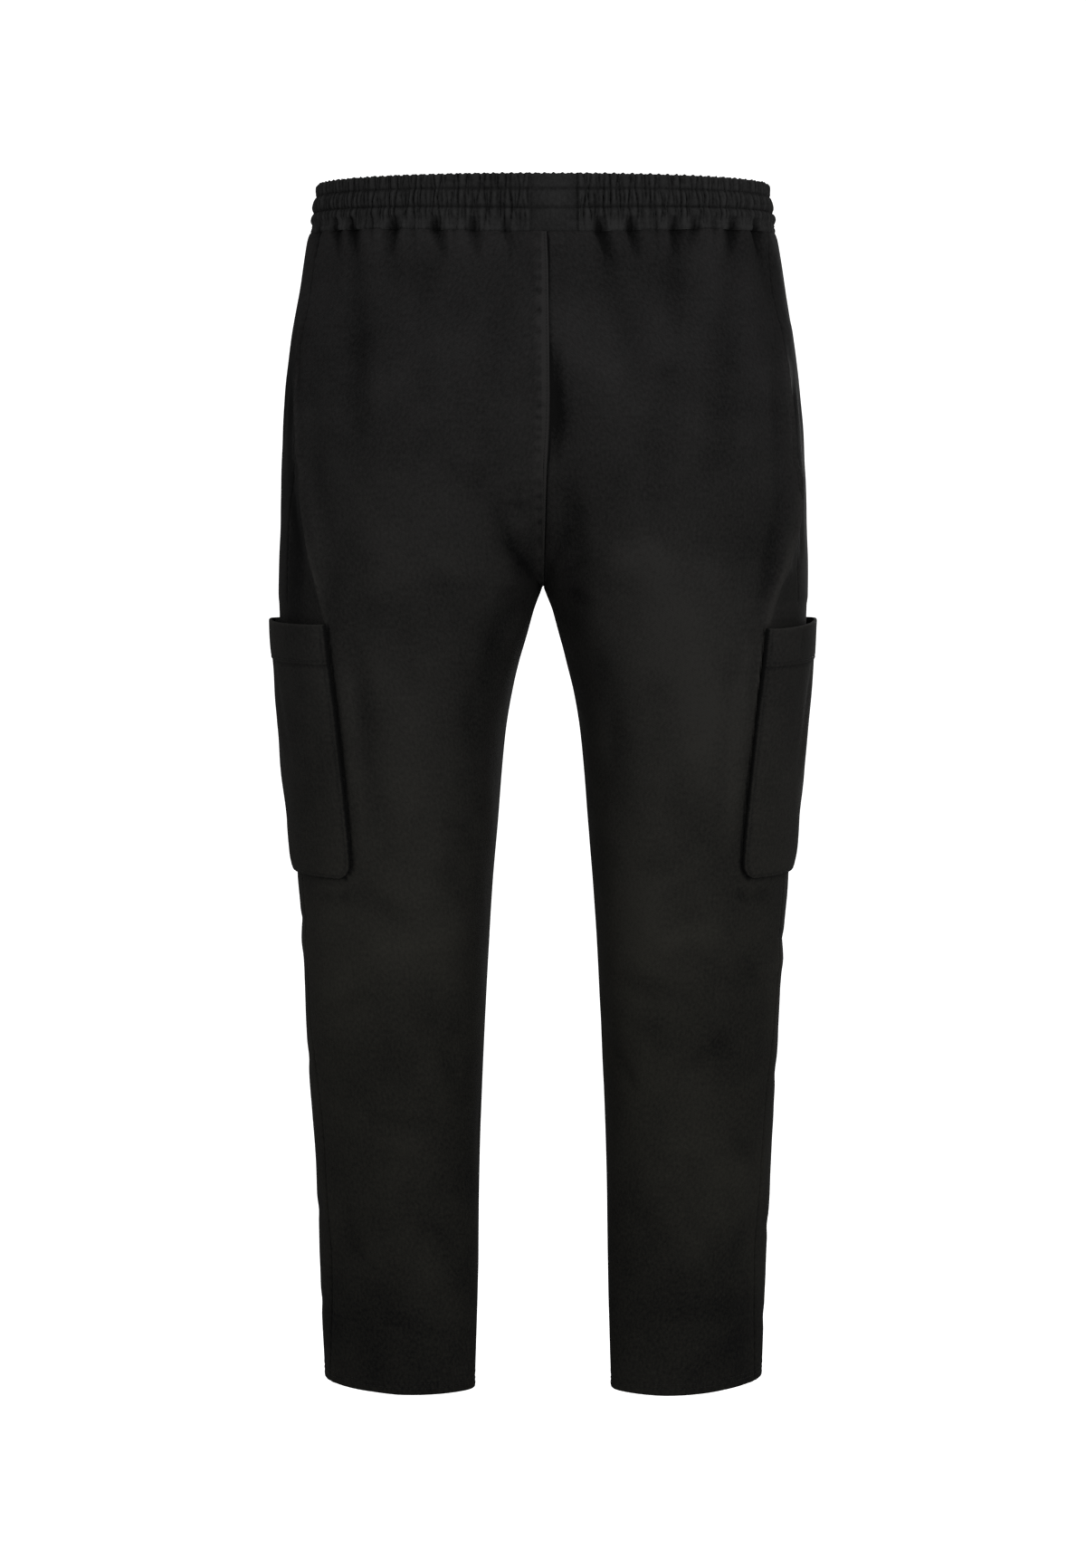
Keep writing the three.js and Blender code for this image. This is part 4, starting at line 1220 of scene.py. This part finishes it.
def ring_mesh(name, rings, uvs, wear_and_light):
    """A closed tube wall from rings of points that run out, over the top, and down inside."""
    count, columns = rings.shape[:2]
    index = np.arange(count * columns).reshape(count, columns)
    below = np.roll(index, -1, axis=0)
    quads = np.stack([index, below, np.roll(below, -1, axis=1), np.roll(index, -1, axis=1)], -1)
    quads = quads.reshape(-1, 4)
    points = rings.reshape(-1, 3)
    piece = new_mesh(name, points, outward(points, quads), uvs, wear_and_light)
    piece.data.set_sharp_from_angle(angle=math.radians(60))
    return piece


def waistband_mesh(sizes):
    """The gathered waistband: a tube, ruffled outside and plain inside."""
    columns = BAND_COLUMNS
    arcs = -BAND_LENGTH / 2 + BAND_LENGTH * np.arange(columns) / columns
    shares = np.concatenate([
        [BAND_OVERHANG, 0, 0.006, 0.014, 0.03], np.linspace(0.05, 0.95, 31), [0.97, 0.985, 0.995, 1.0],
    ])
    arc, share = np.meshgrid(arcs, shares)
    outer = band_surface(arc, share, sizes)[0]
    inner_shares = np.array([0.992, 0.975, 0.9, 0.7, 0.5, 0.3, 0.1, 0.0])
    arc_in, share_in = np.meshgrid(arcs, inner_shares)
    angle = np.interp(arc_in, BAND_ARCS, BAND_ANGLES)
    point, normal = band_base(angle, share_in)
    wave = 0.25 * np.sin(2 * math.pi * arc_in / 7.3 + 1.5 * np.sin(arc_in / 31))
    plain = BAND_INNER_OFFSET + wave * np.sin(math.pi * share_in)
    plain = np.minimum(plain, band_lift(arc_in, share_in, sizes) - 1.0)
    inner = point + normal * plain[..., None]
    rings = np.concatenate([outer, inner])
    heights = np.concatenate([share, share_in]) * (BAND_TOP_Z - BAND_BOTTOM_SIDE_Z)
    uvs = np.stack([np.concatenate([arc, arc_in]), heights], -1)
    lift = band_lift(arc, share, sizes)
    around = np.fft.irfft(np.fft.rfft(lift, axis=1)[:, :BAND_BROAD_WAVES], columns, axis=1)
    wear_and_light = np.zeros(rings.shape[:2])
    rows = sum(np.exp(-(((share - row) / 0.03) ** 2)) for row in BAND_STITCH_ROWS[2:])
    # Painted shade in the gathers' valleys and notches, painted highlight on their crests, and painted
    # shade along the lower rows of stitches
    wear_and_light[:len(shares)] = BAND_WORN + 2.4 * rub_and_shade(lift - around) - 0.35 * rows
    return ring_mesh("waistband_gathered", rings, uvs, wear_and_light)


# Cargo pockets

POCKET_BASE_GAP = 0.5
POCKET_STAND_TOP = 6.6
POCKET_STAND_BOTTOM = 3.1
POCKET_EDGE = 13
POCKET_WORN = 0.1
POCKET_BAND_DEPTH = 33
POCKET_ROW = 3.0
POCKET_BAND_ROW = 30
POCKET_HEIGHT = POCKET_TOP_Z - POCKET_BOTTOM_Z

# Creases on each pocket: place across as a share of the width, and depth below the mouth
POCKET_CREASES = table("x0 z0 x1 z1 width height pinch", [
    (0.80, 1, 0.81, 30, 0.020, -0.9, 0.6),
    (0.83, 2, 0.835, 28, 0.022, 0.6, 0.2),
    (0.34, 3, 0.33, 60, 0.030, -0.8, 0.2),
    (0.62, 40, 0.70, 120, 0.060, -1.0, 0.0),
    (0.20, 60, 0.14, 150, 0.050, -0.9, 0.1),
    (0.45, 90, 0.40, 190, 0.070, 0.9, 0.0),
    (0.88, 60, 0.86, 150, 0.040, 0.7, 0.1),
    (0.74, 150, 0.84, 200, 0.040, -0.8, 0.2),
    (0.22, 170, 0.12, 203, 0.040, -0.8, 0.2),
    (0.52, 176, 0.60, 204, 0.050, 0.6, 0.1),
])
POCKET_CREASE_SCALE = 210


def pocket_edges(down):
    """Where the pocket's front and back edges lie, by its rounded lower corners."""
    share = down / POCKET_HEIGHT
    from_bottom = POCKET_HEIGHT - down
    into = np.clip(POCKET_CORNER - from_bottom, 0, POCKET_CORNER)
    narrowing = POCKET_CORNER - np.sqrt(POCKET_CORNER**2 - into**2)
    back = POCKET_BACK_ARC_TOP + (POCKET_BACK_ARC_BOTTOM - POCKET_BACK_ARC_TOP) * share
    return POCKET_FRONT_ARC + narrowing, back - narrowing


def pocket_surface(side, place, down, out, outside=True):
    """Points of a pocket's cloth at a share of its width and a depth below its mouth."""
    front, back = pocket_edges(down)
    arc = front + (back - front) * place
    sag = MOUTH_SAG[side] * smooth((place - 0.55) / 0.45) + 0.5 * np.sin(11 * place)
    z = POCKET_TOP_Z - down - sag * smooth(1 - down / 70)
    angle = angles_at(POCKET_TOP_Z - down[:, 0], arc + POCKET_SHIFT[side])
    to_edge = np.minimum.reduce([arc - front, back - arc, POCKET_HEIGHT - down])
    near = 1 - np.clip(to_edge / POCKET_EDGE, 0, 1)
    full = POCKET_STAND_TOP + (POCKET_STAND_BOTTOM - POCKET_STAND_TOP) * down / POCKET_HEIGHT
    stand = POCKET_BASE_GAP + (full - POCKET_BASE_GAP) * np.sqrt(1 - near**2)
    free = smooth(to_edge / 18)
    as_shares = {name: POCKET_CREASES[name] / POCKET_CREASE_SCALE for name in ("z0", "z1")}
    creases = fold_lift({**POCKET_CREASES, **as_shares}, place, down / POCKET_CREASE_SCALE)
    stand = stand + free * (creases + 0.35 * waviness(np.stack([arc, z], -1), 31 + side, 60, 8))
    band = 0.9 * smooth((POCKET_BAND_DEPTH - down) / 1.2) if outside else 0
    round_edge = np.sqrt(1 - (1 - np.clip((to_edge + 0.15) / 1.5, 0, 1)) ** 2)
    lip = np.sqrt(1 - (1 - np.clip((down + 0.3) / 1.2, 0, 1)) ** 2)
    thick = out * round_edge * lip + band * free
    row = -0.35 * np.exp(-(((to_edge - POCKET_ROW) / 0.8) ** 2)) if outside else 0
    band_row = -0.4 * np.exp(-(((down - POCKET_BAND_ROW) / 0.8) ** 2)) if outside else 0
    pucker = 0.22 * np.sin((arc + down) * 2 * math.pi / 10.5) * bump(to_edge - 3, 6)
    total = stand + thick + row + band_row + (pucker if outside else 0)
    points = np.empty((*angle.shape, 3))
    normals = np.empty_like(points)
    for towards, mask in ((BACK, angle > 0), (FRONT, angle <= 0)):
        placed, normal = cloth_point(side, towards, angle, z, total, sewing=False)
        points[mask] = placed[mask]
        normals[mask] = normal[mask]
    return points, normals


def pocket_mesh(side, side_name, sizes):
    """A patch pocket, sewn down at its sides and bottom and standing open at its mouth."""
    edge = np.array([0, 0.3, 0.7, 1.3, 2.2, 3.0, 3.8, 5.2, 7.4]) / 205
    places = np.concatenate([edge, np.linspace(edge[-1], 1 - edge[-1], 76)[1:-1], 1 - edge[::-1]])
    downs = np.concatenate([
        [0, 0.3, 0.7, 1.3, 2.4], np.linspace(4.5, 28, 9), [29.2, 30.0, 30.8, 31.6, 32.4, 33.2, 34.2],
        np.linspace(37, 198, 52), [200.5, 203, 205.2, 207.2, 208.6, 209.6, 210.4, 211.2, 211.9],
        [212.4, 212.8, 213.0],
    ])
    place, down = np.meshgrid(places, downs)
    wall = sizes.cloth_wall / MM
    outer = pocket_surface(side, place, down, wall)[0]
    inner = pocket_surface(side, place, down, 0.0, outside=False)[0]
    front, back = pocket_edges(down)
    uvs = np.stack([front + (back - front) * place, -down], -1)
    to_edge = np.minimum.reduce([place * (back - front), (1 - place) * (back - front),
                                 POCKET_HEIGHT - down])
    row = np.exp(-(((to_edge - POCKET_ROW) / 0.8) ** 2))
    band_row = np.exp(-(((down - POCKET_BAND_ROW) / 0.9) ** 2))
    band_edge = np.exp(-(((down - POCKET_BAND_DEPTH - 0.6) / 0.8) ** 2))
    # Painted shadow along the pocket's sewn edges, painted shade in its stitch rows and under its top
    # band, and painted highlight on its mouth's lip
    wear_and_light = POCKET_WORN + 0.5 * wear_and_light_at(outer) - 0.8 * np.exp(-((to_edge / 0.9) ** 2))
    wear_and_light = wear_and_light - 0.25 * row - 0.2 * band_row - 0.4 * band_edge + 0.3 * np.exp(-((down / 1.5) ** 2))
    return shell(f"pocket_patch_{side_name}", outer, inner, uvs, wear_and_light)


# Stitching


def stitch_points(path, normals, pitch, thread):
    """Small six-sided stitches along a path, each a rounded bar with pointed ends."""
    steps = np.linalg.norm(np.diff(path, axis=0), axis=1)
    places = np.r_[0, np.cumsum(steps)]
    count = int(places[-1] // pitch)
    if count < 1:
        return np.empty((0, 3)), np.empty((0, 4), int)
    starts = (np.arange(count) + 0.18) * pitch
    ends = starts + 0.74 * pitch

    def at(length, values):
        return np.stack([np.interp(length, places, values[:, i]) for i in range(3)], -1)

    a = at(starts, path)
    b = at(ends, path)
    up = at((starts + ends) / 2, normals)
    up /= np.linalg.norm(up, axis=-1, keepdims=True)
    along = (b - a) / np.linalg.norm(b - a, axis=-1, keepdims=True)
    across = np.cross(along, up)
    half = thread / 2
    rings = []
    for share, size in ((0.0, 0.35), (0.22, 1.0), (0.78, 1.0), (1.0, 0.35)):
        centre = a + (b - a) * share
        for over, beside in ((1.15, 0.0), (0.35, 1.0), (-0.5, 0.0), (0.35, -1.0)):
            rings.append(centre + up * (over * half * size) + across * (beside * half * size))
    points = np.stack(rings, 1)
    quads = []
    for ring in range(3):
        for corner in range(4):
            nxt = (corner + 1) % 4
            quads.append((4 * ring + corner, 4 * ring + nxt, 4 * ring + 4 + nxt, 4 * ring + 4 + corner))
    quads.append((3, 2, 1, 0))
    quads.append((12, 13, 14, 15))
    offsets = 16 * np.arange(count)[:, None, None]
    return points.reshape(-1, 3), (np.array(quads)[None] + offsets).reshape(-1, 4)


def stitching(name, paths, sizes):
    """One object with all the stitches of several rows."""
    points = []
    quads = []
    used = 0
    for path, normals in paths:
        some, faces = stitch_points(path, normals, sizes.stitch_pitch / MM, sizes.thread / MM)
        points.append(some)
        quads.append(faces + used)
        used += len(some)
    return new_mesh(name, np.concatenate(points), np.concatenate(quads))


def centre_seam_path(towards):
    """The row beside the centre seam, near the edge of the left panel's lap."""
    levels = np.arange(waist_seam_z(math.pi / 2 * towards) - 1.0, CROTCH_Z + 3, -1.2)
    offset = centre_lap(towards, levels) - CENTRE_ROW
    starts = arc_of(end_angle(levels, towards), levels)
    angles = angles_at(levels, (starts - towards * np.abs(offset))[:, None])[:, 0]
    points, normals = cloth_point(LEFT, towards, angles, levels)
    over, turned = cloth_point(RIGHT, towards, angles, levels, LAP_HEIGHT + LAP_DIP)
    past = (offset > 0)[:, None]
    return np.where(past, over, points), np.where(past, turned, normals)


def hem_path(side, row):
    """One row of stitches round a hem."""
    angles = np.radians(np.linspace(-178, 178, 240))
    z = np.full_like(angles, HEM_Z + row)
    seam = np.radians(seam_angle(z))
    points = np.empty((len(angles), 3))
    normals = np.empty_like(points)
    for towards, mask in ((BACK, angles > seam), (FRONT, angles <= seam)):
        placed, normal = cloth_point(side, towards, angles, z)
        points[mask] = placed[mask]
        normals[mask] = normal[mask]
    return points, normals


def band_path(share, sizes):
    """One row of stitches round the waistband."""
    arcs = np.linspace(-BAND_LENGTH / 2 + 0.2, BAND_LENGTH / 2 - 0.2, 1200)[None, :]
    points, normals = band_surface(arcs, np.full_like(arcs, share), sizes)
    return points[0], normals[0]


def pocket_paths(side, sizes):
    """The rows inside a pocket's edges and along its top hem."""
    wall = sizes.cloth_wall / MM
    downs = np.concatenate([np.linspace(3, 196, 90), np.linspace(197, POCKET_HEIGHT - POCKET_ROW, 12)])
    paths = []
    for sign in (-1, 1):
        front, back = pocket_edges(downs)
        width = back - front
        inset = np.full_like(downs, POCKET_ROW) + np.clip(downs - 199, 0, 20) * 0.25
        place = inset / width if sign < 0 else 1 - inset / width
        points, normals = pocket_surface(side, place[:, None], downs[:, None], wall)
        paths.append((points[:, 0], normals[:, 0]))
    for down, inset in ((POCKET_HEIGHT - POCKET_ROW, 0.03), (POCKET_BAND_ROW, 0.02)):
        place = np.linspace(inset, 1 - inset, 180)[None, :]
        points, normals = pocket_surface(side, place, np.full_like(place, down), wall)
        paths.append((points[0], normals[0]))
    return paths


# Materials


def add_node(tree, kind, settings=None, inputs=None, links=None):
    """Adds a node, sets its properties and inputs, and links outputs to its inputs."""
    node = tree.nodes.new(kind)
    for name, value in (settings or {}).items():
        setattr(node, name, value)
    for name, value in (inputs or {}).items():
        node.inputs[name].default_value = value
    for name, output in (links or {}).items():
        tree.links.new(output, node.inputs[name])
    return node


def new_material(name):
    """An empty node material with its output."""
    material = bpy.data.materials.new(name)
    material.use_nodes = True
    material.node_tree.nodes.clear()
    output = material.node_tree.nodes.new("ShaderNodeOutputMaterial")
    return material, material.node_tree, output


# A wave texture of this scale has one band in a metre
WAVE_SCALE = 0.314
TWILL_LINE_MM = 1.5
THREAD_TWIST_MM = 0.8
SLUB_MM = 2.4
FADING_MM = 60.0
WARM_FROM_Z = -120.0
WARM_TO_Z = -700.0


def brushed_twill(name, dark, pale, warm, fading=0.25, roughness=0.86):
    """Brushed cotton twill, piece-dyed black and washed: matt, with faint slanting lines,
    short slubs, broad pale patches where the dye has faded, and the wear, painted highlight and painted
    shade that each mesh carries per point."""
    material, tree, output = new_material(name)
    cloth = add_node(tree, "ShaderNodeUVMap", {"uv_map": "cloth"})
    # The real lines are 0.6 mm apart, too fine to show, so they are drawn 1.5 mm apart.
    turned = add_node(
        tree, "ShaderNodeMapping", {},
        {"Rotation": (0, 0, math.radians(63))}, {"Vector": cloth.outputs["UV"]},
    )
    lines = add_node(
        tree, "ShaderNodeTexWave", {"wave_type": "BANDS", "bands_direction": "X"},
        {"Scale": WAVE_SCALE / (TWILL_LINE_MM * MM), "Distortion": 1.2, "Detail": 2.0,
         "Detail Scale": 1.5},
        {"Vector": turned.outputs["Vector"]},
    )
    stretched = add_node(
        tree, "ShaderNodeMapping", {}, {"Scale": (1.0, 0.7, 1.0)},
        {"Vector": cloth.outputs["UV"]},
    )
    slubs = add_node(
        tree, "ShaderNodeTexNoise", {},
        {"Scale": 1 / (SLUB_MM * MM), "Detail": 4.0, "Roughness": 0.65},
        {"Vector": stretched.outputs["Vector"]},
    )
    place = add_node(tree, "ShaderNodeTexCoord")
    patches = add_node(
        tree, "ShaderNodeTexNoise", {},
        {"Scale": 1 / (FADING_MM * MM), "Detail": 6.0, "Roughness": 0.62},
        {"Vector": place.outputs["Object"]},
    )
    patch_range = add_node(
        tree, "ShaderNodeMapRange", {},
        {"From Min": 0.33, "From Max": 0.67, "To Min": 0.1, "To Max": 0.1 + fading},
        {"Value": patches.outputs["Fac"]},
    )
    slub_range = add_node(
        tree, "ShaderNodeMapRange", {},
        {"From Min": 0.3, "From Max": 0.7, "To Min": 0.0, "To Max": 0.5},
        {"Value": slubs.outputs["Fac"]},
    )
    # The mesh's per-point wear, painted highlight and painted shade
    rub_and_shade = add_node(tree, "ShaderNodeAttribute", {"attribute_name": "wear_and_light"})
    mottled = add_node(
        tree, "ShaderNodeMath", {"operation": "ADD"}, {},
        {0: patch_range.outputs["Result"], 1: slub_range.outputs["Result"]},
    )
    total = add_node(
        tree, "ShaderNodeMath", {"operation": "ADD", "use_clamp": True}, {},
        {0: mottled.outputs["Value"], 1: rub_and_shade.outputs["Fac"]},
    )
    height = add_node(
        tree, "ShaderNodeSeparateXYZ", {}, {}, {"Vector": place.outputs["Object"]},
    )
    lower = add_node(
        tree, "ShaderNodeMapRange", {},
        {"From Min": WARM_FROM_Z * MM, "From Max": WARM_TO_Z * MM},
        {"Value": height.outputs["Z"]},
    )
    pale_cloth = add_node(
        tree, "ShaderNodeMix", {"data_type": "RGBA"},
        {"A": (*pale, 1), "B": (*warm, 1)}, {"Factor": lower.outputs["Result"]},
    )
    colour = add_node(
        tree, "ShaderNodeMix", {"data_type": "RGBA"}, {"A": (*dark, 1)},
        {"B": pale_cloth.outputs[2], "Factor": total.outputs["Value"]},
    )
    line_bump = add_node(
        tree, "ShaderNodeBump", {}, {"Strength": 0.35, "Distance": 0.00025},
        {"Height": lines.outputs["Fac"]},
    )
    slub_bump = add_node(
        tree, "ShaderNodeBump", {}, {"Strength": 0.5, "Distance": 0.0005},
        {"Height": slubs.outputs["Fac"], "Normal": line_bump.outputs["Normal"]},
    )
    rough = add_node(
        tree, "ShaderNodeMapRange", {},
        {"From Min": 0.3, "From Max": 0.7, "To Min": roughness - 0.05, "To Max": roughness + 0.07},
        {"Value": slubs.outputs["Fac"]},
    )
    surface = add_node(
        tree, "ShaderNodeBsdfPrincipled", {},
        {"Metallic": 0.0, "IOR": 1.45, "Specular IOR Level": 0.08},
        {"Base Color": colour.outputs[2], "Roughness": rough.outputs["Result"],
         "Normal": slub_bump.outputs["Normal"]},
    )
    tree.links.new(surface.outputs["BSDF"], output.inputs["Surface"])
    return material


def twisted_thread(name, colour):
    """Polyester core-spun thread, twisted: a little smoother than the cloth, so it catches light."""
    material, tree, output = new_material(name)
    place = add_node(tree, "ShaderNodeTexCoord")
    twist = add_node(
        tree, "ShaderNodeTexWave", {"bands_direction": "DIAGONAL"},
        {"Scale": WAVE_SCALE / (THREAD_TWIST_MM * MM), "Distortion": 0.4},
        {"Vector": place.outputs["Object"]},
    )
    tint = add_node(
        tree, "ShaderNodeMix", {"data_type": "RGBA"},
        {"A": (*[c * 0.7 for c in colour], 1), "B": (*colour, 1)},
        {"Factor": twist.outputs["Fac"]},
    )
    relief = add_node(
        tree, "ShaderNodeBump", {}, {"Strength": 0.4, "Distance": 0.0001},
        {"Height": twist.outputs["Fac"]},
    )
    surface = add_node(
        tree, "ShaderNodeBsdfPrincipled", {},
        {"Roughness": 0.55, "Specular IOR Level": 0.3},
        {"Base Color": tint.outputs[2], "Normal": relief.outputs["Normal"]},
    )
    tree.links.new(surface.outputs["BSDF"], output.inputs["Surface"])
    return material


def painted_wall(name, colour):
    """Matt white studio paint, bright enough to drop out behind the dark cloth."""
    material, tree, output = new_material(name)
    place = add_node(tree, "ShaderNodeTexCoord")
    grain = add_node(
        tree, "ShaderNodeTexNoise", {}, {"Scale": 40.0, "Detail": 2.0},
        {"Vector": place.outputs["Object"]},
    )
    tint = add_node(
        tree, "ShaderNodeMix", {"data_type": "RGBA"},
        {"A": (*[c * 0.985 for c in colour], 1), "B": (*colour, 1)},
        {"Factor": grain.outputs["Fac"]},
    )
    surface = add_node(
        tree, "ShaderNodeBsdfPrincipled", {},
        {"Roughness": 0.95, "Specular IOR Level": 0.0, "Emission Color": (1, 1, 1, 1),
         "Emission Strength": 1.0},
        {"Base Color": tint.outputs[2]},
    )
    tree.links.new(surface.outputs["BSDF"], output.inputs["Surface"])
    return material


def finish_piece(piece, material, slot, *nodes):
    """Gives a piece its material and body, and hides the solids that it stands for; its slot is not
    used.
    """
    piece.data.materials.append(material)
    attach(piece, BODY)
    if nodes:
        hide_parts(*nodes)


# Lights and stage


def soft_surroundings(name, left, right):
    """Even white light from all round, weaker from the garment's left than from its right."""
    world = bpy.data.worlds.new(name)
    world.use_nodes = True
    tree = world.node_tree
    background = tree.nodes["Background"]
    background.inputs["Color"].default_value = (1, 1, 1, 1)
    place = add_node(tree, "ShaderNodeTexCoord")
    split = add_node(
        tree, "ShaderNodeSeparateXYZ", {}, {}, {"Vector": place.outputs["Generated"]},
    )
    strength = add_node(
        tree, "ShaderNodeMapRange", {},
        {"From Min": -1.0, "From Max": 1.0, "To Min": left, "To Max": right},
        {"Value": split.outputs["X"]},
    )
    tree.links.new(strength.outputs["Result"], background.inputs["Strength"])
    return world


def area_light(name, place, target, size, power):
    """A soft square white lamp that faces a point."""
    lamp = bpy.data.lights.new(name, "AREA")
    lamp.shape = "SQUARE"
    lamp.size = size
    lamp.energy = power
    holder = bpy.data.objects.new(name, lamp)
    holder.location = place
    aim = Vector(target) - Vector(place)
    holder.rotation_euler = aim.to_track_quat("-Z", "Y").to_euler()
    bpy.context.scene.collection.objects.link(holder)
    return holder


# Each lamp's name, place, target, size and power in watts
LAMPS = (
    ("key", (0.9, -1.9, -0.1), (0.0, 0.0, -0.36), 0.5, 7),
    ("fill", (-0.5, -2.0, -0.1), (0.0, 0.0, -0.36), 0.6, 3),
    ("front_key", (0.9, 2.0, 0.0), (0.0, 0.0, -0.4), 0.6, 8),
    ("top", (0.0, 0.0, 2.2), (0, 0, -0.4), 1.4, 8),
)
WORLD_LEFT = 0.27
WORLD_RIGHT = 0.33
CAMERA_PLACE = (0.0, -2.7, -0.236)
CAMERA_TILT = 5.18
FOCAL_PIXELS = 3506
FLOOR_Z = -1.25
STAGE_RADIUS = 4.5
STAGE_CURVE = 1.2
STAGE_HEIGHT = 5.0


def round_sweep():
    """A round floor that curves up into a wall all round, as points and faces."""
    turns = np.radians(np.linspace(0, 90, 13))
    radii = np.r_[0.01, STAGE_RADIUS - STAGE_CURVE + STAGE_CURVE * np.sin(turns), STAGE_RADIUS]
    heights = np.r_[0, STAGE_CURVE * (1 - np.cos(turns)), STAGE_HEIGHT] + FLOOR_Z
    around = np.radians(np.arange(0, 360, 5))
    points = np.stack([
        radii[:, None] * np.cos(around), radii[:, None] * np.sin(around),
        heights[:, None] + 0 * around,
    ], -1)
    index = np.arange(points[..., 0].size).reshape(points.shape[:2])
    beside = np.roll(index, -1, axis=1)
    quads = np.stack([index[:-1], beside[:-1], beside[1:], index[1:]], -1).reshape(-1, 4)
    near = np.arange(around.size // 2 - 1)
    far = around.size - 1 - near
    middle = np.stack([near, near + 1, far - 1, far], -1)
    return points.reshape(-1, 3) / MM, np.r_[quads, middle]


class CARGO_OT_stage(bpy.types.Operator):
    """Make the camera, the lights and the pale floor that curves up into a wall"""

    bl_idname = "cargo.stage"
    bl_label = "Stage"

    def execute(self, context):
        scene = context.scene
        camera = bpy.data.cameras.new("camera")
        camera.lens = camera.sensor_width * FOCAL_PIXELS / IMAGE_HEIGHT
        camera.clip_end = 50
        eye = bpy.data.objects.new("camera", camera)
        eye.location = CAMERA_PLACE
        eye.rotation_euler = (math.radians(90 - CAMERA_TILT), 0, 0)
        scene.collection.objects.link(eye)
        scene.camera = eye
        sweep = new_mesh("floor_and_wall", *round_sweep())
        sweep.data.materials.append(painted_wall("painted_wall", scene.cargo_colours.floor))
        sweep.visible_diffuse = False
        sweep.visible_glossy = False
        sweep.visible_shadow = False
        for name, place, target, size, power in LAMPS:
            area_light(name, place, target, size, power)
        scene.world = soft_surroundings("studio", WORLD_LEFT, WORLD_RIGHT)
        scene.view_settings.view_transform = "Standard"
        scene.view_settings.look = "None"
        return {"FINISHED"}


def shared_material(name, make):
    """The material of that name, made once."""
    return bpy.data.materials.get(name) or make(name)


def leg_twill(context):
    colours = context.scene.cargo_colours
    return shared_material(
        "brushed_twill", lambda name: brushed_twill(name, colours.twill, colours.wear_and_light, colours.warm)
    )


class CARGO_OT_panels(bpy.types.Operator):
    """Make the four leg panels of brushed twill, and the rows of stitches in their seams"""

    bl_idname = "cargo.panels"
    bl_label = "Leg panels"

    def execute(self, context):
        sizes = context.scene.cargo_sizes
        thread = shared_material(
            "twisted_thread", lambda name: twisted_thread(name, context.scene.cargo_colours.thread)
        )
        for side, side_name in ((LEFT, "left"), (RIGHT, "right")):
            for towards, face in ((BACK, "back"), (FRONT, "front")):
                piece = panel(f"{face}_leg_{side_name}", side, towards, sizes)
                finish_piece(piece, leg_twill(context), "twill", f"{face}_panel_{side_name}")
                if side == LEFT:
                    row = stitching(f"{face}_centre_stitches", [centre_seam_path(towards)], sizes)
                    finish_piece(row, thread, "twill")
                if towards == BACK:
                    paths = [hem_path(side, height) for height in HEM_ROWS]
                    row = stitching(f"hem_stitches_{side_name}", paths, sizes)
                    finish_piece(row, thread, "twill")
        return {"FINISHED"}


class CARGO_OT_waistband(bpy.types.Operator):
    """Make the elastic waistband with its gathers and four rows of stitches"""

    bl_idname = "cargo.waistband"
    bl_label = "Waistband"

    def execute(self, context):
        sizes = context.scene.cargo_sizes
        colours = context.scene.cargo_colours
        band = waistband_mesh(sizes)
        twill = shared_material(
            "gathered_twill",
            lambda name: brushed_twill(name, colours.waist, colours.waist_wear_and_light, colours.waist_wear_and_light),
        )
        finish_piece(band, twill, "waist_twill", "waistband")
        paths = [band_path(share, sizes) for share in BAND_STITCH_ROWS]
        rows = stitching("waistband_stitches", paths, sizes)
        thread = shared_material(
            "twisted_thread", lambda name: twisted_thread(name, colours.thread)
        )
        finish_piece(rows, thread, "waist_twill")
        return {"FINISHED"}


class CARGO_OT_pockets(bpy.types.Operator):
    """Make the two cargo pockets and their stitches"""

    bl_idname = "cargo.pockets"
    bl_label = "Cargo pockets"

    def execute(self, context):
        sizes = context.scene.cargo_sizes
        thread = shared_material(
            "twisted_thread", lambda name: twisted_thread(name, context.scene.cargo_colours.thread)
        )
        for side, side_name in ((LEFT, "left"), (RIGHT, "right")):
            patch = pocket_mesh(side, side_name, sizes)
            finish_piece(patch, leg_twill(context), "pocket_twill", f"cargo_pocket_{side_name}")
            rows = stitching(f"pocket_stitches_{side_name}", pocket_paths(side, sizes), sizes)
            finish_piece(rows, thread, "pocket_twill")
        return {"FINISHED"}


class CARGO_PT_sidebar(bpy.types.Panel):
    """Lists the pieces of the trousers"""

    bl_idname = "CARGO_PT_sidebar"
    bl_label = "Cargo trousers"
    bl_space_type = "VIEW_3D"
    bl_region_type = "UI"
    bl_category = "Trousers"

    def draw(self, context):
        for group in (context.scene.cargo_sizes, context.scene.cargo_colours):
            for name in group.__annotations__:
                self.layout.prop(group, name)
        for operator in OPERATORS:
            self.layout.operator(operator.bl_idname)


OPERATORS = (CARGO_OT_stage, CARGO_OT_panels, CARGO_OT_waistband, CARGO_OT_pockets)
CLASSES = (CargoSizes, CargoColours, *OPERATORS, CARGO_PT_sidebar)


def register():
    for kind in CLASSES:
        bpy.utils.register_class(kind)
    bpy.types.Scene.cargo_sizes = PointerProperty(type=CargoSizes)
    bpy.types.Scene.cargo_colours = PointerProperty(type=CargoColours)


def unregister():
    del bpy.types.Scene.cargo_colours
    del bpy.types.Scene.cargo_sizes
    for kind in reversed(CLASSES):
        bpy.utils.unregister_class(kind)


def main():
    """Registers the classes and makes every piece."""
    register()
    bpy.ops.cargo.stage()
    bpy.ops.cargo.panels()
    bpy.ops.cargo.waistband()
    bpy.ops.cargo.pockets()
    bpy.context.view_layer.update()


if __name__ == "__main__":
    main()
